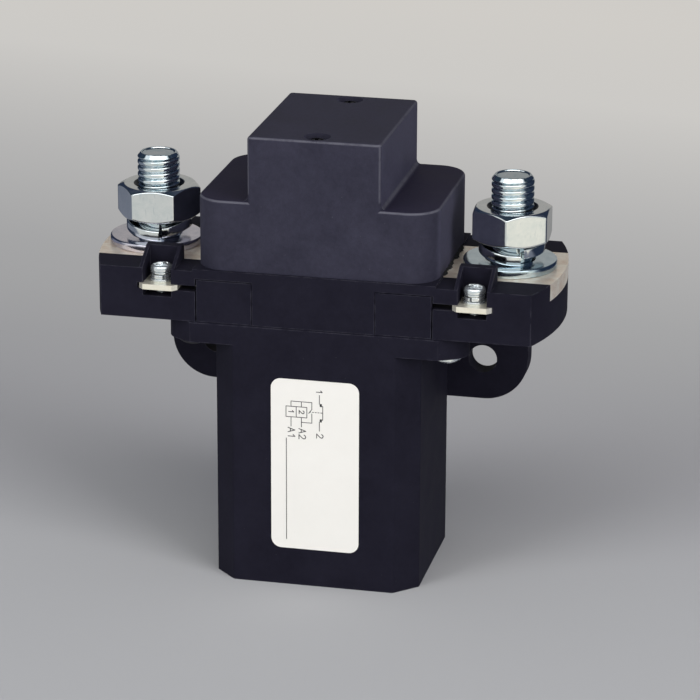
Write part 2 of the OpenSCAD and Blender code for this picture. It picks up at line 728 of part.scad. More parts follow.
module moving_tip_left() color(silver_tip) mirror([1, 0, 0]) tip(tip_z);
module moving_tip_right() color(silver_tip) tip(tip_z);

module spring_seat() color(dark_plastic) translate([0, 0, bridge_top]) difference() {
  cylinder(d = seat_d, h = seat_t);
  translate([0, 0, -1]) cylinder(r = insulator_r + clear_run, h = seat_t + 2);
}

module contact_spring() color(steel) translate([0, 0, bridge_top + seat_t])
  wound_spring(contact_spring_r, contact_wire, retainer_z - bridge_top - seat_t, 4);

// Armature: plunger, rod and what is fixed to the rod
module armature_plunger() color(steel) translate([0, 0, plunger_z]) difference() {
  rotate_extrude() polygon([
    [0, 0], [plunger_d / 2 - 0.5, 0], [plunger_d / 2, 0.5], [plunger_d / 2, plunger_l - 0.5],
    [plunger_d / 2 - 0.5, plunger_l], [0, plunger_l]]);
  translate([0, 0, -1]) cylinder(d = spring_bore_d, h = plunger_bore + 1);
  translate([0, 0, plunger_l - rod_seat]) cylinder(d = rod_d, h = rod_seat + 1);
}

module armature_rod() color("#b9bdc2") rotate_extrude() polygon([
  [0, plunger_top - rod_seat], [rod_d / 2, plunger_top - rod_seat], [rod_d / 2, collar_z],
  [rod_d / 2 + 1.4, collar_z], [rod_d / 2 + 1.4, insulator_z], [rod_d / 2, insulator_z],
  [rod_d / 2, clip_z], [rod_d / 2 - 0.5, clip_z], [rod_d / 2 - 0.5, clip_z + clip_t],
  [rod_d / 2, clip_z + clip_t], [rod_d / 2, rod_top - 0.5], [rod_d / 2 - 0.5, rod_top], [0, rod_top]]);

module bridge_insulator() color(cream_plastic) difference() {
  union() {
    translate([0, 0, insulator_z]) cylinder(d = retainer_d, h = insulator_flange_t);
    translate([0, 0, insulator_z]) cylinder(r = insulator_r, h = insulator_top - insulator_z);
  }
  translate([0, 0, insulator_z - 1]) cylinder(d = rod_d, h = insulator_top - insulator_z + 2);
}

module spring_retainer() color(steel) translate([0, 0, retainer_z]) difference() {
  cylinder(d = retainer_d, h = retainer_t);
  translate([0, 0, -1]) cylinder(d = rod_d + 0.1, h = retainer_t + 2);
}

module rod_clip() color(steel) translate([0, 0, clip_z]) linear_extrude(clip_t) difference() {
  circle(d = rod_d + 4);
  circle(r = rod_d / 2 - 0.5);
  translate([0, -rod_d / 2 + 0.6]) square([rod_d + 4, rod_d - 1.2]);
}

// Magnet: bent frame, top plate and core
module frame_face() {
  difference() {
    union() {
      translate([-frame_side + frame_t + frame_bend, frame_z]) square([2 * (frame_side - frame_t - frame_bend), frame_t]);
      for (s = [-1, 1]) {
        translate([s * (frame_side - frame_t - frame_bend), frame_z + frame_t + frame_bend]) circle(frame_t + frame_bend);
        translate([s * (frame_side - frame_t / 2) - frame_t / 2, frame_z + frame_t + frame_bend])
          square([frame_t, plate_z - frame_z - frame_t - frame_bend]);
      }
    }
    translate([-frame_side + frame_t + frame_bend, coil_z]) square([2 * (frame_side - frame_t - frame_bend), plate_z]);
    translate([-frame_side + frame_t, coil_z + frame_bend]) square([2 * (frame_side - frame_t), plate_z]);
    for (s = [-1, 1]) translate([s * (frame_side - frame_t - frame_bend), coil_z + frame_bend]) circle(frame_bend);
  }
}

module magnet_frame() color(steel) {
  difference() {
    rotate([90, 0, 0]) linear_extrude(cavity_d - 2 * frame_edge, center = true) frame_face();
    translate([0, 0, frame_z - 1]) cylinder(d = 8, h = frame_t + 2);
  }
  // Tongues that are staked into the top plate
  for (s = [-1, 1]) translate([s * (frame_side - frame_t / 2), 0, plate_z + plate_t / 2 - 0.1])
    cube([frame_t, 8, plate_t], center = true);
}

module top_plate() color(steel) difference() {
  x = frame_side;
  y = cavity_d / 2 - plate_gap;
  cut = x + y - (cavity_w / 2 + cavity_d / 2 - cavity_cut) + sqrt(2) * lead_room;
  translate([0, 0, plate_z]) linear_extrude(plate_t) polygon([
    [-x + cut, -y], [x - cut, -y], [x, -y + cut], [x, y - cut], [x - cut, y], [-x + cut, y],
    [-x, y - cut], [-x, -y + cut]]);
  translate([0, 0, plate_z - 1]) cylinder(r = sleeve_r + fit_gap, h = plate_t + 2);
  for (s = [-1, 1]) translate([s * (frame_side - frame_t / 2), 0, plate_z])
    cube([frame_t + eps, 8 + 2 * fit_gap, 3 * plate_t], center = true);
}

module fixed_core() color(steel) difference() {
  rotate_extrude() polygon([
    [0, frame_z + 0.1], [4, frame_z + 0.1], [4, coil_z], [plunger_d / 2, coil_z],
    [plunger_d / 2, core_top - 0.5], [plunger_d / 2 - 0.5, core_top], [0, core_top]]);
  translate([0, 0, core_top - core_bore]) cylinder(d = spring_bore_d, h = core_bore + 1);
}

module guide_sleeve() color(brass) translate([0, 0, coil_z]) difference() {
  cylinder(r = sleeve_r, h = rim_z - coil_z - 0.1);
  translate([0, 0, -1]) cylinder(r = sleeve_in_r, h = rim_z);
}

// Coil
module coil_bobbin() color(cream_plastic) difference() {
  union() {
    translate([0, 0, coil_z]) cylinder(r = tube_r, h = plate_z - coil_z);
    for (z = [coil_z, plate_z - cheek_t]) translate([0, 0, z]) intersection() {
      translate([0, 0, cheek_t / 2]) cube([cheek_w, cheek_w, cheek_t], center = true);
      cylinder(r = cheek_w * 0.57, h = cheek_t);
    }
  }
  translate([0, 0, coil_z - 1]) cylinder(r = tube_in_r, h = plate_z);
}

module lead_holes(d) for (s = [-1, 1]) translate([s * lead_x, -lead_out_y, lead_z])
  rotate([90, 0, 0]) cylinder(d = d, h = 5);

module coil_winding() color(enamel_copper) difference() {
  translate([0, 0, coil_z + cheek_t]) cylinder(d = winding_d, h = plate_z - coil_z - 2 * cheek_t);
  cylinder(r = tube_r, h = plate_z);
  lead_holes(lead_d);
}

module coil_wrap() color("#d8b23a") difference() {
  translate([0, 0, coil_z + cheek_t])
    cylinder(d = winding_d + 2 * wrap_t, h = plate_z - coil_z - 2 * cheek_t);
  cylinder(d = winding_d, h = plate_z);
  lead_holes(lead_d + 0.4);
}

module return_spring() color(steel) translate([0, 0, core_top - core_bore])
  wound_spring(return_spring_r, return_wire, plunger_z + plunger_bore - core_top + core_bore, 8);

coil_housing();
rating_label();
terminal_base();
arc_cover();
fixed_contact_left();
fixed_contact_right();
fixed_tip_left();
fixed_tip_right();
terminal_stud_left();
terminal_stud_right();
plain_washer_left();
plain_washer_right();
spring_washer_left();
spring_washer_right();
hex_nut_left();
hex_nut_right();
coil_tab_left();
coil_tab_right();
coil_screws();
coil_screw_washers();
lead_cover_left();
lead_cover_right();
coil_lead_left();
coil_lead_right();
flange_screws();
cover_screws();
rod_bush();
stop_washer();
moving_bridge();
moving_tip_left();
moving_tip_right();
spring_seat();
contact_spring();
armature_plunger();
armature_rod();
bridge_insulator();
spring_retainer();
rod_clip();
magnet_frame();
top_plate();
fixed_core();
guide_sleeve();
coil_bobbin();
coil_winding();
coil_wrap();
return_spring();
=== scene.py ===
import math

import bmesh
import bpy
from mathutils import Matrix, Vector, noise


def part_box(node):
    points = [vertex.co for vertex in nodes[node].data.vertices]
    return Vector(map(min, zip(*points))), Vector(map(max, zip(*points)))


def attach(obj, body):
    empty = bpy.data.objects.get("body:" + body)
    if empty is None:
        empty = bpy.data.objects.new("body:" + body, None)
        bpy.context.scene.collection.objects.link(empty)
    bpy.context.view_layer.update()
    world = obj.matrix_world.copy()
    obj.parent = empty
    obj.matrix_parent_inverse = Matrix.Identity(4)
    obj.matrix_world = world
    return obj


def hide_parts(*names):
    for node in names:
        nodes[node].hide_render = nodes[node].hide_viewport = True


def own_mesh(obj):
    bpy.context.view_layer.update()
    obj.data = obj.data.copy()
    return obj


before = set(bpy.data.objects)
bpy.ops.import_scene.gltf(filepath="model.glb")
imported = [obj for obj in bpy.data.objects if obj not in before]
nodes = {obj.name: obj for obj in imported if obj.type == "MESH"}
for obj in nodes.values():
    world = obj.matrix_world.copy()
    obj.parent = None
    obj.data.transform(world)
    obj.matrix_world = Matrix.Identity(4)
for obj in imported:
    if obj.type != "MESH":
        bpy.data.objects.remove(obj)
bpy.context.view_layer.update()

mm = 0.001
scene = bpy.context.scene
print("frame loaded:", len(nodes), "nodes")

# the camera stands where the photograph was taken from
camera = {
    "focal": 172.28,
    "sensor": 36.0,
    "clip": (0.02, 30),
    "place": (0.16921, -0.73535, 0.31207),
    "azimuth": 12.662,
    "elevation": 19.014,
    "roll": 0.201,
}


def aimedCamera(values):
    data = bpy.data.cameras.new("productCamera")
    data.lens, data.sensor_width = values["focal"], values["sensor"]
    data.clip_start, data.clip_end = values["clip"]
    cam = bpy.data.objects.new("productCamera", data)
    scene.collection.objects.link(cam)
    az, el, turn = (math.radians(values[key]) for key in ("azimuth", "elevation", "roll"))
    back = Vector((math.sin(az) * math.cos(el), -math.cos(az) * math.cos(el), math.sin(el)))
    right = Vector((math.cos(az), math.sin(az), 0))
    up = back.cross(right)
    right, up = right * math.cos(turn) + up * math.sin(turn), up * math.cos(turn) - right * math.sin(turn)
    cam.matrix_world = Matrix.Translation(values["place"]) @ Matrix((right, up, back)).transposed().to_4x4()
    return cam


scene.camera = aimedCamera(camera)
scene.view_settings.view_transform = "Standard"


# small helpers for node trees
ownTrees = []


def newMaterial(name):
    material = bpy.data.materials.new(name)
    material.use_nodes = True
    tree = material.node_tree
    tree.nodes.clear()
    ownTrees.append(tree)
    return material, tree, tree.nodes.new("ShaderNodeOutputMaterial").inputs["Surface"]


def feed(tree, socket, value):
    # a socket is linked, and anything else is set as the constant
    if isinstance(value, bpy.types.NodeSocket):
        tree.links.new(value, socket)
    elif socket.type == "RGBA":
        socket.default_value = (*value, 1.0)
    else:
        socket.default_value = value


def addNode(tree, kind, **values):
    # a value goes to the input of that name, or else to the node's own setting
    node = tree.nodes.new(kind)
    for key, value in values.items():
        label = key.replace("_", " ")
        if label in node.inputs:
            feed(tree, node.inputs[label], value)
        else:
            setattr(node, key, value)
    return node


def mathNode(tree, operation, *values):
    node = addNode(tree, "ShaderNodeMath", operation=operation)
    for socket, value in zip(node.inputs, values):
        feed(tree, socket, value)
    return node.outputs[0]


def spread(tree, value, low, high, newLow=0.0, newHigh=1.0, ease="SMOOTHSTEP"):
    return addNode(tree, "ShaderNodeMapRange", interpolation_type=ease, Value=value, From_Min=low, From_Max=high,
                   To_Min=newLow, To_Max=newHigh).outputs["Result"]


def blendColour(tree, factor, first, second, mode="MIX"):
    node = addNode(tree, "ShaderNodeMix", data_type="RGBA", blend_type=mode)
    sockets = {socket.name: socket for socket in node.inputs if socket.enabled}
    for label, value in (("Factor", factor), ("A", first), ("B", second)):
        feed(tree, sockets[label], value)
    return next(socket for socket in node.outputs if socket.enabled)


def onPart(tree):
    return addNode(tree, "ShaderNodeTexCoord").outputs["Object"]


def axesOf(tree, source):
    # X, Y and Z of the spot on the part ("Object"), or of the way that it faces ("Normal")
    where = addNode(tree, "ShaderNodeTexCoord")
    return addNode(tree, "ShaderNodeSeparateXYZ", Vector=where.outputs[source]).outputs


# the paper sweep, the lamps and the room; each pair of limits is where a zone starts and is full
studio = {
    "nearFloor": (0.505, 0.505, 0.515),
    # painted shade: floor colour for a band just behind the part
    "paintedShadeFloor": (0.480, 0.475, 0.490),
    "dip": (-0.02, 0.06),
    "tilt": 0.2,
    "farFrom": (0.06, 0.20),
    "farBeside": (0.40, 0.90),
    "farStops": ((0.12, (0.340, 0.340, 0.347)), (0.20, (0.375, 0.375, 0.379)), (0.30, (0.462, 0.458, 0.454)),
                 (0.435, (0.600, 0.587, 0.565)), (0.56, (0.626, 0.606, 0.575))),
    "farMirrored": 0.62,
    "frontLean": 0.2,
    "frontFrom": (-0.02, -0.12),
    "frontAcross": (-0.02, 0.20),
    "frontLeft": (0.64, 0.64, 0.61),
    "frontRight": (0.93, 0.90, 0.79),
    "sideBeside": (0.13, 0.22),
    "sideUpTo": (0.30, 0.18),
    "side": (0.18, 0.195, 0.24),
    "deepLean": 0.35,
    "deepFrom": (0.06, 0.13),
    "deepUpTo": (0.80, 0.45),
    "deepBeside": (0.10, 0.16),
    "asideShift": 0.15,
    "asideBeside": (0.48, 0.64),
    "asideFrom": (0.25, 0.45),
    "deep": (0.022, 0.032, 0.058),
    "bend": 0.9,
    "bendSteps": 24,
    "back": 1.6,
    "height": 2.2,
    "wide": 3.4,
    "front": 2.6,
    "aim": (0, 0, 0.05),
    "lamps": {  # place, size, power, tint, and whether metal mirrors it
        "keyBox": ((0.12, -0.62, 1.10), (1.6, 0.5), 5.2, (1.0, 0.99, 0.97), True),
        "leftBox": ((-0.90, -1.00, 0.50), (0.7, 0.9), 8.8, (0.96, 0.98, 1.0), False),
        "rightBox": ((1.10, -0.74, 0.50), (0.7, 0.9), 11.6, (0.98, 0.98, 1.0), False),
    },
    "room": (0.245, 0.255, 0.27),
    "roomFront": (0.95, 0.97, 0.98),
    "roomLow": (0.60, 0.63, 0.62),
    "roomSide": (0.025, 0.04, 0.06),
    "roomBack": (0.05, 0.06, 0.09),
    "roomUpTo": (0.95, 0.84),
    "roomSplit": (0.38, 0.52),
    "roomFrontFrom": (-0.05, -0.30),
    "roomBackFrom": (0.25, 0.70),
}


def sweepMaterial(values):
    material, tree, surface = newMaterial("paperSweep")
    here = addNode(tree, "ShaderNodeNewGeometry").outputs["Position"]
    split = addNode(tree, "ShaderNodeSeparateXYZ", Vector=here).outputs
    across, along = split["X"], split["Y"]
    beside = mathNode(tree, "ABSOLUTE", across)
    path = addNode(tree, "ShaderNodeLightPath").outputs
    mirrored = path["Is Glossy Ray"]

    def zone(value, limits):
        return spread(tree, value, *values[limits])

    def both(first, second):
        return mathNode(tree, "MULTIPLY", first, second)

    def either(first, second):
        return mathNode(tree, "MAXIMUM", first, second)

    def leaning(value, lean):
        return mathNode(tree, "MULTIPLY_ADD", value, values[lean], along)

    # painted shade: the floor darkens towards a band just behind the part
    floor = blendColour(tree, zone(along, "dip"), values["nearFloor"], values["paintedShadeFloor"])
    paper = addNode(tree, "ShaderNodeBsdfDiffuse", Color=floor)
    # painted light: the far paper glows, lighter towards the backdrop, and more so on the right
    ramp = addNode(tree, "ShaderNodeValToRGB", Fac=leaning(across, "tilt"))
    stops = ramp.color_ramp.elements
    while len(stops) < len(values["farStops"]):
        stops.new(1.0)
    for stop, (position, colour) in zip(stops, values["farStops"]):
        stop.position = position
        stop.color = (*colour, 1)
    seen = either(path["Is Camera Ray"], mirrored)
    farShare = both(seen, either(zone(along, "farFrom"), zone(beside, "farBeside")))
    # painted reflections: for glossy rays the paper glows bright in front of the part, dim at its sides, and dark
    # behind those
    frontShare = both(mirrored, zone(leaning(beside, "frontLean"), "frontFrom"))
    sideShare = both(mirrored, both(zone(beside, "sideBeside"), zone(along, "sideUpTo")))
    behind = both(zone(leaning(across, "deepLean"), "deepFrom"), zone(along, "deepUpTo"))
    behind = both(behind, zone(beside, "deepBeside"))
    aside = mathNode(tree, "ABSOLUTE", mathNode(tree, "ADD", across, values["asideShift"]))
    deepShare = both(mirrored, either(behind, both(zone(aside, "asideBeside"), zone(along, "asideFrom"))))
    dim = spread(tree, mirrored, 0, 1, 1.0, values["farMirrored"], "LINEAR")
    colour = blendColour(tree, 1.0, ramp.outputs[0], dim, "MULTIPLY")
    frontColour = blendColour(tree, zone(across, "frontAcross"), values["frontLeft"], values["frontRight"])
    for share, tone in ((sideShare, values["side"]), (deepShare, values["deep"]), (frontShare, frontColour)):
        colour = blendColour(tree, share, colour, tone)
    glow = addNode(tree, "ShaderNodeEmission", Strength=1.0, Color=colour)
    mix = addNode(tree, "ShaderNodeMixShader", Fac=either(either(either(frontShare, sideShare), farShare), deepShare))
    tree.links.new(paper.outputs[0], mix.inputs[1])
    tree.links.new(glow.outputs[0], mix.inputs[2])
    tree.links.new(mix.outputs[0], surface)
    return material


def paperSweep(values):
    mesh = bmesh.new()
    bend, steps = values["bend"], values["bendSteps"]
    flatEnd = values["back"] - bend
    profile = [(-values["front"], 0.0), (flatEnd, 0.0)]
    for step in range(1, steps + 1):
        turn = math.pi / 2 * step / steps
        profile.append((flatEnd + bend * math.sin(turn), bend * (1 - math.cos(turn))))
    profile.append((values["back"], values["height"]))
    rows = [[mesh.verts.new((x * values["wide"], y, z)) for x in (-1, 1)] for y, z in profile]
    for low, high in zip(rows, rows[1:]):
        mesh.faces.new((low[0], low[1], high[1], high[0]))
    data = bpy.data.meshes.new("paperSweep")
    mesh.to_mesh(data)
    mesh.free()
    for face in data.polygons:
        face.use_smooth = True
    sweep = bpy.data.objects.new("paperSweep", data)
    scene.collection.objects.link(sweep)
    data.materials.append(sweepMaterial(values))


def softbox(name, place, size, power, tint, mirrored):
    data = bpy.data.lights.new(name, "AREA")
    data.shape = "RECTANGLE"
    data.size, data.size_y = size
    data.energy = power
    data.color = tint
    lamp = bpy.data.objects.new(name, data)
    lamp.location = place
    lamp.rotation_mode = "QUATERNION"
    lamp.visible_glossy = mirrored
    lamp.rotation_quaternion = (Vector(place) - Vector(studio["aim"])).to_track_quat("Z", "Y")
    scene.collection.objects.link(lamp)


def studioRoom(values):
    # a plain room for the light; metal sees a bright front, dark sides and a grey back
    world = bpy.data.worlds.new("studioRoom")
    scene.world = world
    world.use_nodes = True
    tree = world.node_tree
    ownTrees.append(tree)
    ahead = axesOf(tree, "Generated")
    up = ahead["Z"]
    flat = mathNode(tree, "SQRT", mathNode(tree, "SUBTRACT", 1.0, mathNode(tree, "MULTIPLY", up, up)))
    facing = mathNode(tree, "DIVIDE", ahead["Y"], mathNode(tree, "MAXIMUM", flat, 0.05))
    low = spread(tree, up, *values["roomUpTo"])
    frontShare, backShare = (mathNode(tree, "MULTIPLY", spread(tree, facing, *values[key]), low)
                             for key in ("roomFrontFrom", "roomBackFrom"))
    colour = blendColour(tree, backShare, values["roomSide"], values["roomBack"])
    boxColour = blendColour(tree, spread(tree, up, *values["roomSplit"]), values["roomLow"], values["roomFront"])
    colour = blendColour(tree, frontShare, colour, boxColour)
    mirrored = addNode(tree, "ShaderNodeLightPath").outputs["Is Glossy Ray"]
    feed(tree, tree.nodes["Background"].inputs["Color"], blendColour(tree, mirrored, values["room"], colour))


paperSweep(studio)
for lampName, lampValues in studio["lamps"].items():
    softbox(lampName, *lampValues)
studioRoom(studio)
print("studio ready")


# effects that several materials share
def newGroup(name, inputs, outputs):
    group = bpy.data.node_groups.new(name, "ShaderNodeTree")
    ownTrees.append(group)
    for label, value in inputs.items():
        kind = "NodeSocketVector" if isinstance(value, tuple) else "NodeSocketFloat"
        group.interface.new_socket(name=label, in_out="INPUT", socket_type=kind).default_value = value
    for label in outputs:
        group.interface.new_socket(name=label, in_out="OUTPUT", socket_type="NodeSocketFloat")
    return group, group.nodes.new("NodeGroupInput").outputs, group.nodes.new("NodeGroupOutput").inputs


def useGroup(tree, group, **values):
    return addNode(tree, "ShaderNodeGroup", node_tree=group, **values).outputs


def mouldGrainGroup():
    # fine skin of a moulded part: soft grain, and small pale flecks of dust
    group, given, result = newGroup("mouldGrain", {"Grain Size": 0.00025, "Fleck Amount": 0.5}, ("Height", "Fleck"))
    where = onPart(group)
    scale = mathNode(group, "DIVIDE", 1.0, given["Grain Size"])
    wider = mathNode(group, "MULTIPLY", scale, 0.28)
    fine = addNode(group, "ShaderNodeTexNoise", Vector=where, Scale=scale, Detail=3.0, Roughness=0.6).outputs["Fac"]
    coarse = addNode(group, "ShaderNodeTexNoise", Vector=where, Scale=wider, Detail=2.0).outputs["Fac"]
    feed(group, result["Height"], mathNode(group, "MULTIPLY_ADD", coarse, 0.6, fine))
    dust = addNode(group, "ShaderNodeTexVoronoi", Vector=where, Scale=900.0).outputs
    rare = addNode(group, "ShaderNodeSeparateColor", Color=dust["Color"]).outputs["Red"]
    fleck = mathNode(group, "MULTIPLY", spread(group, dust["Distance"], 0.10, 0.02),
                     mathNode(group, "GREATER_THAN", rare, 0.93))
    feed(group, result["Fleck"], mathNode(group, "MULTIPLY", fleck, given["Fleck Amount"]))
    return group


def cloudGroup():
    # slow change of tone over a surface
    group, given, result = newGroup("cloudTone", {"Patch Size": 0.01, "Contrast": 1.0}, ("Tone",))
    scale = mathNode(group, "DIVIDE", 1.0, given["Patch Size"])
    cloud = addNode(group, "ShaderNodeTexNoise", Vector=onPart(group), Scale=scale, Detail=8.0, Roughness=0.68,
                    Distortion=0.3).outputs["Fac"]
    tone = mathNode(group, "MULTIPLY_ADD", mathNode(group, "SUBTRACT", cloud, 0.5), given["Contrast"], 0.5)
    feed(group, result["Tone"], addNode(group, "ShaderNodeClamp", Value=tone).outputs[0])
    return group


def strokeGroup():
    # drawn or brushed lines: noise stretched along the axis that has the small factor
    group, given, result = newGroup("toolStrokes", {"Stretch": (0.05, 1.0, 1.0), "Line Size": 0.0002},
                                    ("Height", "Mask"))
    pull = addNode(group, "ShaderNodeVectorMath", operation="MULTIPLY")
    feed(group, pull.inputs[0], onPart(group))
    feed(group, pull.inputs[1], given["Stretch"])
    scale = mathNode(group, "DIVIDE", 1.0, given["Line Size"])
    lines = addNode(group, "ShaderNodeTexNoise", Vector=pull.outputs[0], Scale=scale, Detail=3.0,
                    Roughness=0.65).outputs["Fac"]
    feed(group, result["Height"], lines)
    feed(group, result["Mask"], spread(group, lines, 0.58, 0.70))
    return group


def edgeGroup():
    # outer edges: where handling has polished or chipped the skin, and where the materials paint a lighter highlight
    group, given, result = newGroup("edgeWearAndHighlight", {"Reach": 0.0004, "Breakup Size": 0.002, "Breakup": 1.0}, ("Mask",))
    same = addNode(group, "ShaderNodeVectorMath", operation="DOT_PRODUCT")
    feed(group, same.inputs[0], addNode(group, "ShaderNodeBevel", samples=4, Radius=given["Reach"]).outputs[0])
    feed(group, same.inputs[1], addNode(group, "ShaderNodeNewGeometry").outputs["Normal"])
    scale = mathNode(group, "DIVIDE", 1.0, given["Breakup Size"])
    torn = addNode(group, "ShaderNodeTexNoise", Vector=onPart(group), Scale=scale, Detail=4.0).outputs["Fac"]
    lost = mathNode(group, "MULTIPLY", spread(group, torn, 0.62, 0.35), given["Breakup"])
    edge = spread(group, same.outputs["Value"], 0.998, 0.94)
    feed(group, result["Mask"], mathNode(group, "MULTIPLY", edge, mathNode(group, "SUBTRACT", 1.0, lost)))
    return group


mouldGrain = mouldGrainGroup()
cloudTone = cloudGroup()
toolStrokes = strokeGroup()
edgeWearAndHighlight = edgeGroup()


# pairs are where a mask starts and is full, with the shares that it gives there in some
wearAndPaintedLight = {
    "holeRim": 1.1,
    "upperFrom": (0.20, 0.50),
    "upperTo": (0.95, 0.78),
    "forward": (0.1, -0.4, 0.38, 1.0),
    "corner": (0.35, 0.62, 0.0, 0.7),
    "cornerFade": 0.0008,
    "breakContrast": 3.0,
    "breaks": (0.1, 0.6),
    "polish": -0.25,
    "shoulderFade": 0.003,
    "level": (0.7, 0.98),
    "sideways": (0.90, 0.995),
}


def axisDistance(tree, centre):
    # distance from the two upright axes at (+-x, +-y)
    spot = axesOf(tree, "Object")
    squares = []
    for label, offset in zip("XY", centre):
        away = mathNode(tree, "SUBTRACT", mathNode(tree, "ABSOLUTE", spot[label]), offset)
        squares.append(mathNode(tree, "MULTIPLY", away, away))
    return mathNode(tree, "SQRT", mathNode(tree, "ADD", *squares))


def awayFrom(tree, x, y, radius):
    # keeps the wear and painted highlight off the rims of the two screw holes
    return spread(tree, axisDistance(tree, (x, y)), radius, radius * wearAndPaintedLight["holeRim"])


def rimWearAndHighlight(tree, height, breakSize, breakShare):
    # upper rounded edges, and the upright corners above a height; polished by handling and lighter as a painted
    # highlight, with small breaks
    spot, tilt = axesOf(tree, "Object"), axesOf(tree, "Normal")
    upper = mathNode(tree, "MULTIPLY", *(spread(tree, tilt["Z"], *wearAndPaintedLight[key]) for key in ("upperFrom", "upperTo")))
    # the painted highlight is strongest on the front ones
    upper = mathNode(tree, "MULTIPLY", upper, spread(tree, tilt["Y"], *wearAndPaintedLight["forward"]))
    corner = mathNode(tree, "MINIMUM", *(mathNode(tree, "ABSOLUTE", tilt[label]) for label in "XY"))
    corner = mathNode(tree, "MULTIPLY", spread(tree, corner, *wearAndPaintedLight["corner"]),
                      spread(tree, spot["Z"], height, height + wearAndPaintedLight["cornerFade"]))
    broken = useGroup(tree, cloudTone, Patch_Size=breakSize, Contrast=wearAndPaintedLight["breakContrast"])["Tone"]
    return mathNode(tree, "MULTIPLY", mathNode(tree, "MAXIMUM", upper, corner),
                    spread(tree, broken, *wearAndPaintedLight["breaks"], 1.0 - breakShare, 1.0))


def paintShoulderShade(tree, colour, height, share, shade):
    # painted shade: level faces below a height are a little darker
    below = spread(tree, axesOf(tree, "Object")["Z"], height, height - wearAndPaintedLight["shoulderFade"])
    level = spread(tree, axesOf(tree, "Normal")["Z"], *wearAndPaintedLight["level"])
    both = mathNode(tree, "MULTIPLY", mathNode(tree, "MULTIPLY", below, level), share)
    return blendColour(tree, both, colour, shade)


def paintSideLight(tree, colour, lift):
    # painted light: the two upright sides are made lighter than the front
    sideways = mathNode(tree, "ABSOLUTE", axesOf(tree, "Normal")["X"])
    return blendColour(tree, 1.0, colour, spread(tree, sideways, *wearAndPaintedLight["sideways"], 1.0, lift), "MULTIPLY")


reliefDepth = {"moulded": 0.00006, "metal": 0.00004, "wire": 0.0001, "film": 0.00005}
mottling = {"size": 0.0012, "contrast": 1.5}


def skinned(tree, surface, height, strength, depth, **values):
    # the shader itself, with the relief of the skin as a bump
    bump = addNode(tree, "ShaderNodeBump", Strength=strength, Distance=depth, Height=height)
    skin = addNode(tree, "ShaderNodeBsdfPrincipled", Normal=bump.outputs[0], **values)
    tree.links.new(skin.outputs[0], surface)


def mouldedPlastic(name, look):
    material, tree, surface = newMaterial(name)
    grain = useGroup(tree, mouldGrain, Grain_Size=look["grain"], Fleck_Amount=look["fleck"])
    cloud = useGroup(tree, cloudTone, Patch_Size=look["patch"], Contrast=look["contrast"])["Tone"]
    colour = blendColour(tree, cloud, look["dark"], look["light"])
    mottle = useGroup(tree, cloudTone, Patch_Size=mottling["size"], Contrast=mottling["contrast"])["Tone"]
    mottled = spread(tree, mottle, 0.0, 1.0, 1.0 - look["mottle"], 1.0 + look["mottle"], "LINEAR")
    colour = blendColour(tree, 1.0, colour, mottled, "MULTIPLY")
    # edges: polished by wear, and lighter as a painted highlight
    if "rim" in look:
        wearAndHighlight = mathNode(tree, "MULTIPLY", rimWearAndHighlight(tree, *look["rim"]), awayFrom(tree, *look["calm"]))
        # painted shade on the low level faces, and painted light on the upright sides
        colour = paintSideLight(tree, paintShoulderShade(tree, colour, *look["shoulderShade"]), look["sideLight"])
    else:
        wearAndHighlight = useGroup(tree, edgeWearAndHighlight, Reach=look["edgeReach"])["Mask"]
    wearAndHighlight = mathNode(tree, "MULTIPLY", wearAndHighlight, look["edgeShare"])
    colour = blendColour(tree, wearAndHighlight, colour, look["edge"])
    rough = mathNode(tree, "MULTIPLY_ADD", cloud, look["roughSpan"], look["rough"])
    skinned(tree, surface, grain["Height"], look["bump"], reliefDepth["moulded"], Specular_IOR_Level=look["gloss"],
            Base_Color=blendColour(tree, grain["Fleck"], colour, look["dust"]),
            Roughness=mathNode(tree, "MULTIPLY_ADD", wearAndHighlight, wearAndPaintedLight["polish"], rough))
    return material


def workedMetal(name, look, film=None):
    material, tree, surface = newMaterial(name)
    cloud = useGroup(tree, cloudTone, Patch_Size=look["patch"], Contrast=look["contrast"])["Tone"]
    stroke = useGroup(tree, toolStrokes, Stretch=look["stretch"], Line_Size=look["line"])
    edge = useGroup(tree, edgeWearAndHighlight, Reach=look["edgeReach"])["Mask"]
    colour = blendColour(tree, cloud, look["dark"], look["light"])
    colour = blendColour(tree, mathNode(tree, "MULTIPLY", stroke["Mask"], look["strokeShare"]), colour, look["stroke"])
    # edges lighter: wear, and a painted highlight
    colour = blendColour(tree, mathNode(tree, "MULTIPLY", edge, look["edgeShare"]), colour, look["light"])
    rough = mathNode(tree, "MULTIPLY_ADD", stroke["Height"], look["roughSpan"], look["rough"])
    skin = {"Metallic": look["metal"], "Specular_Tint": look["rim"], "Base_Color": colour, "Roughness": rough}
    # the extra layer: passivation tint on the washers, painted shade on the flange screws and nuts
    if film:
        film(tree, skin)
    skinned(tree, surface, stroke["Height"], look["bump"], reliefDepth["metal"], **skin)
    return material


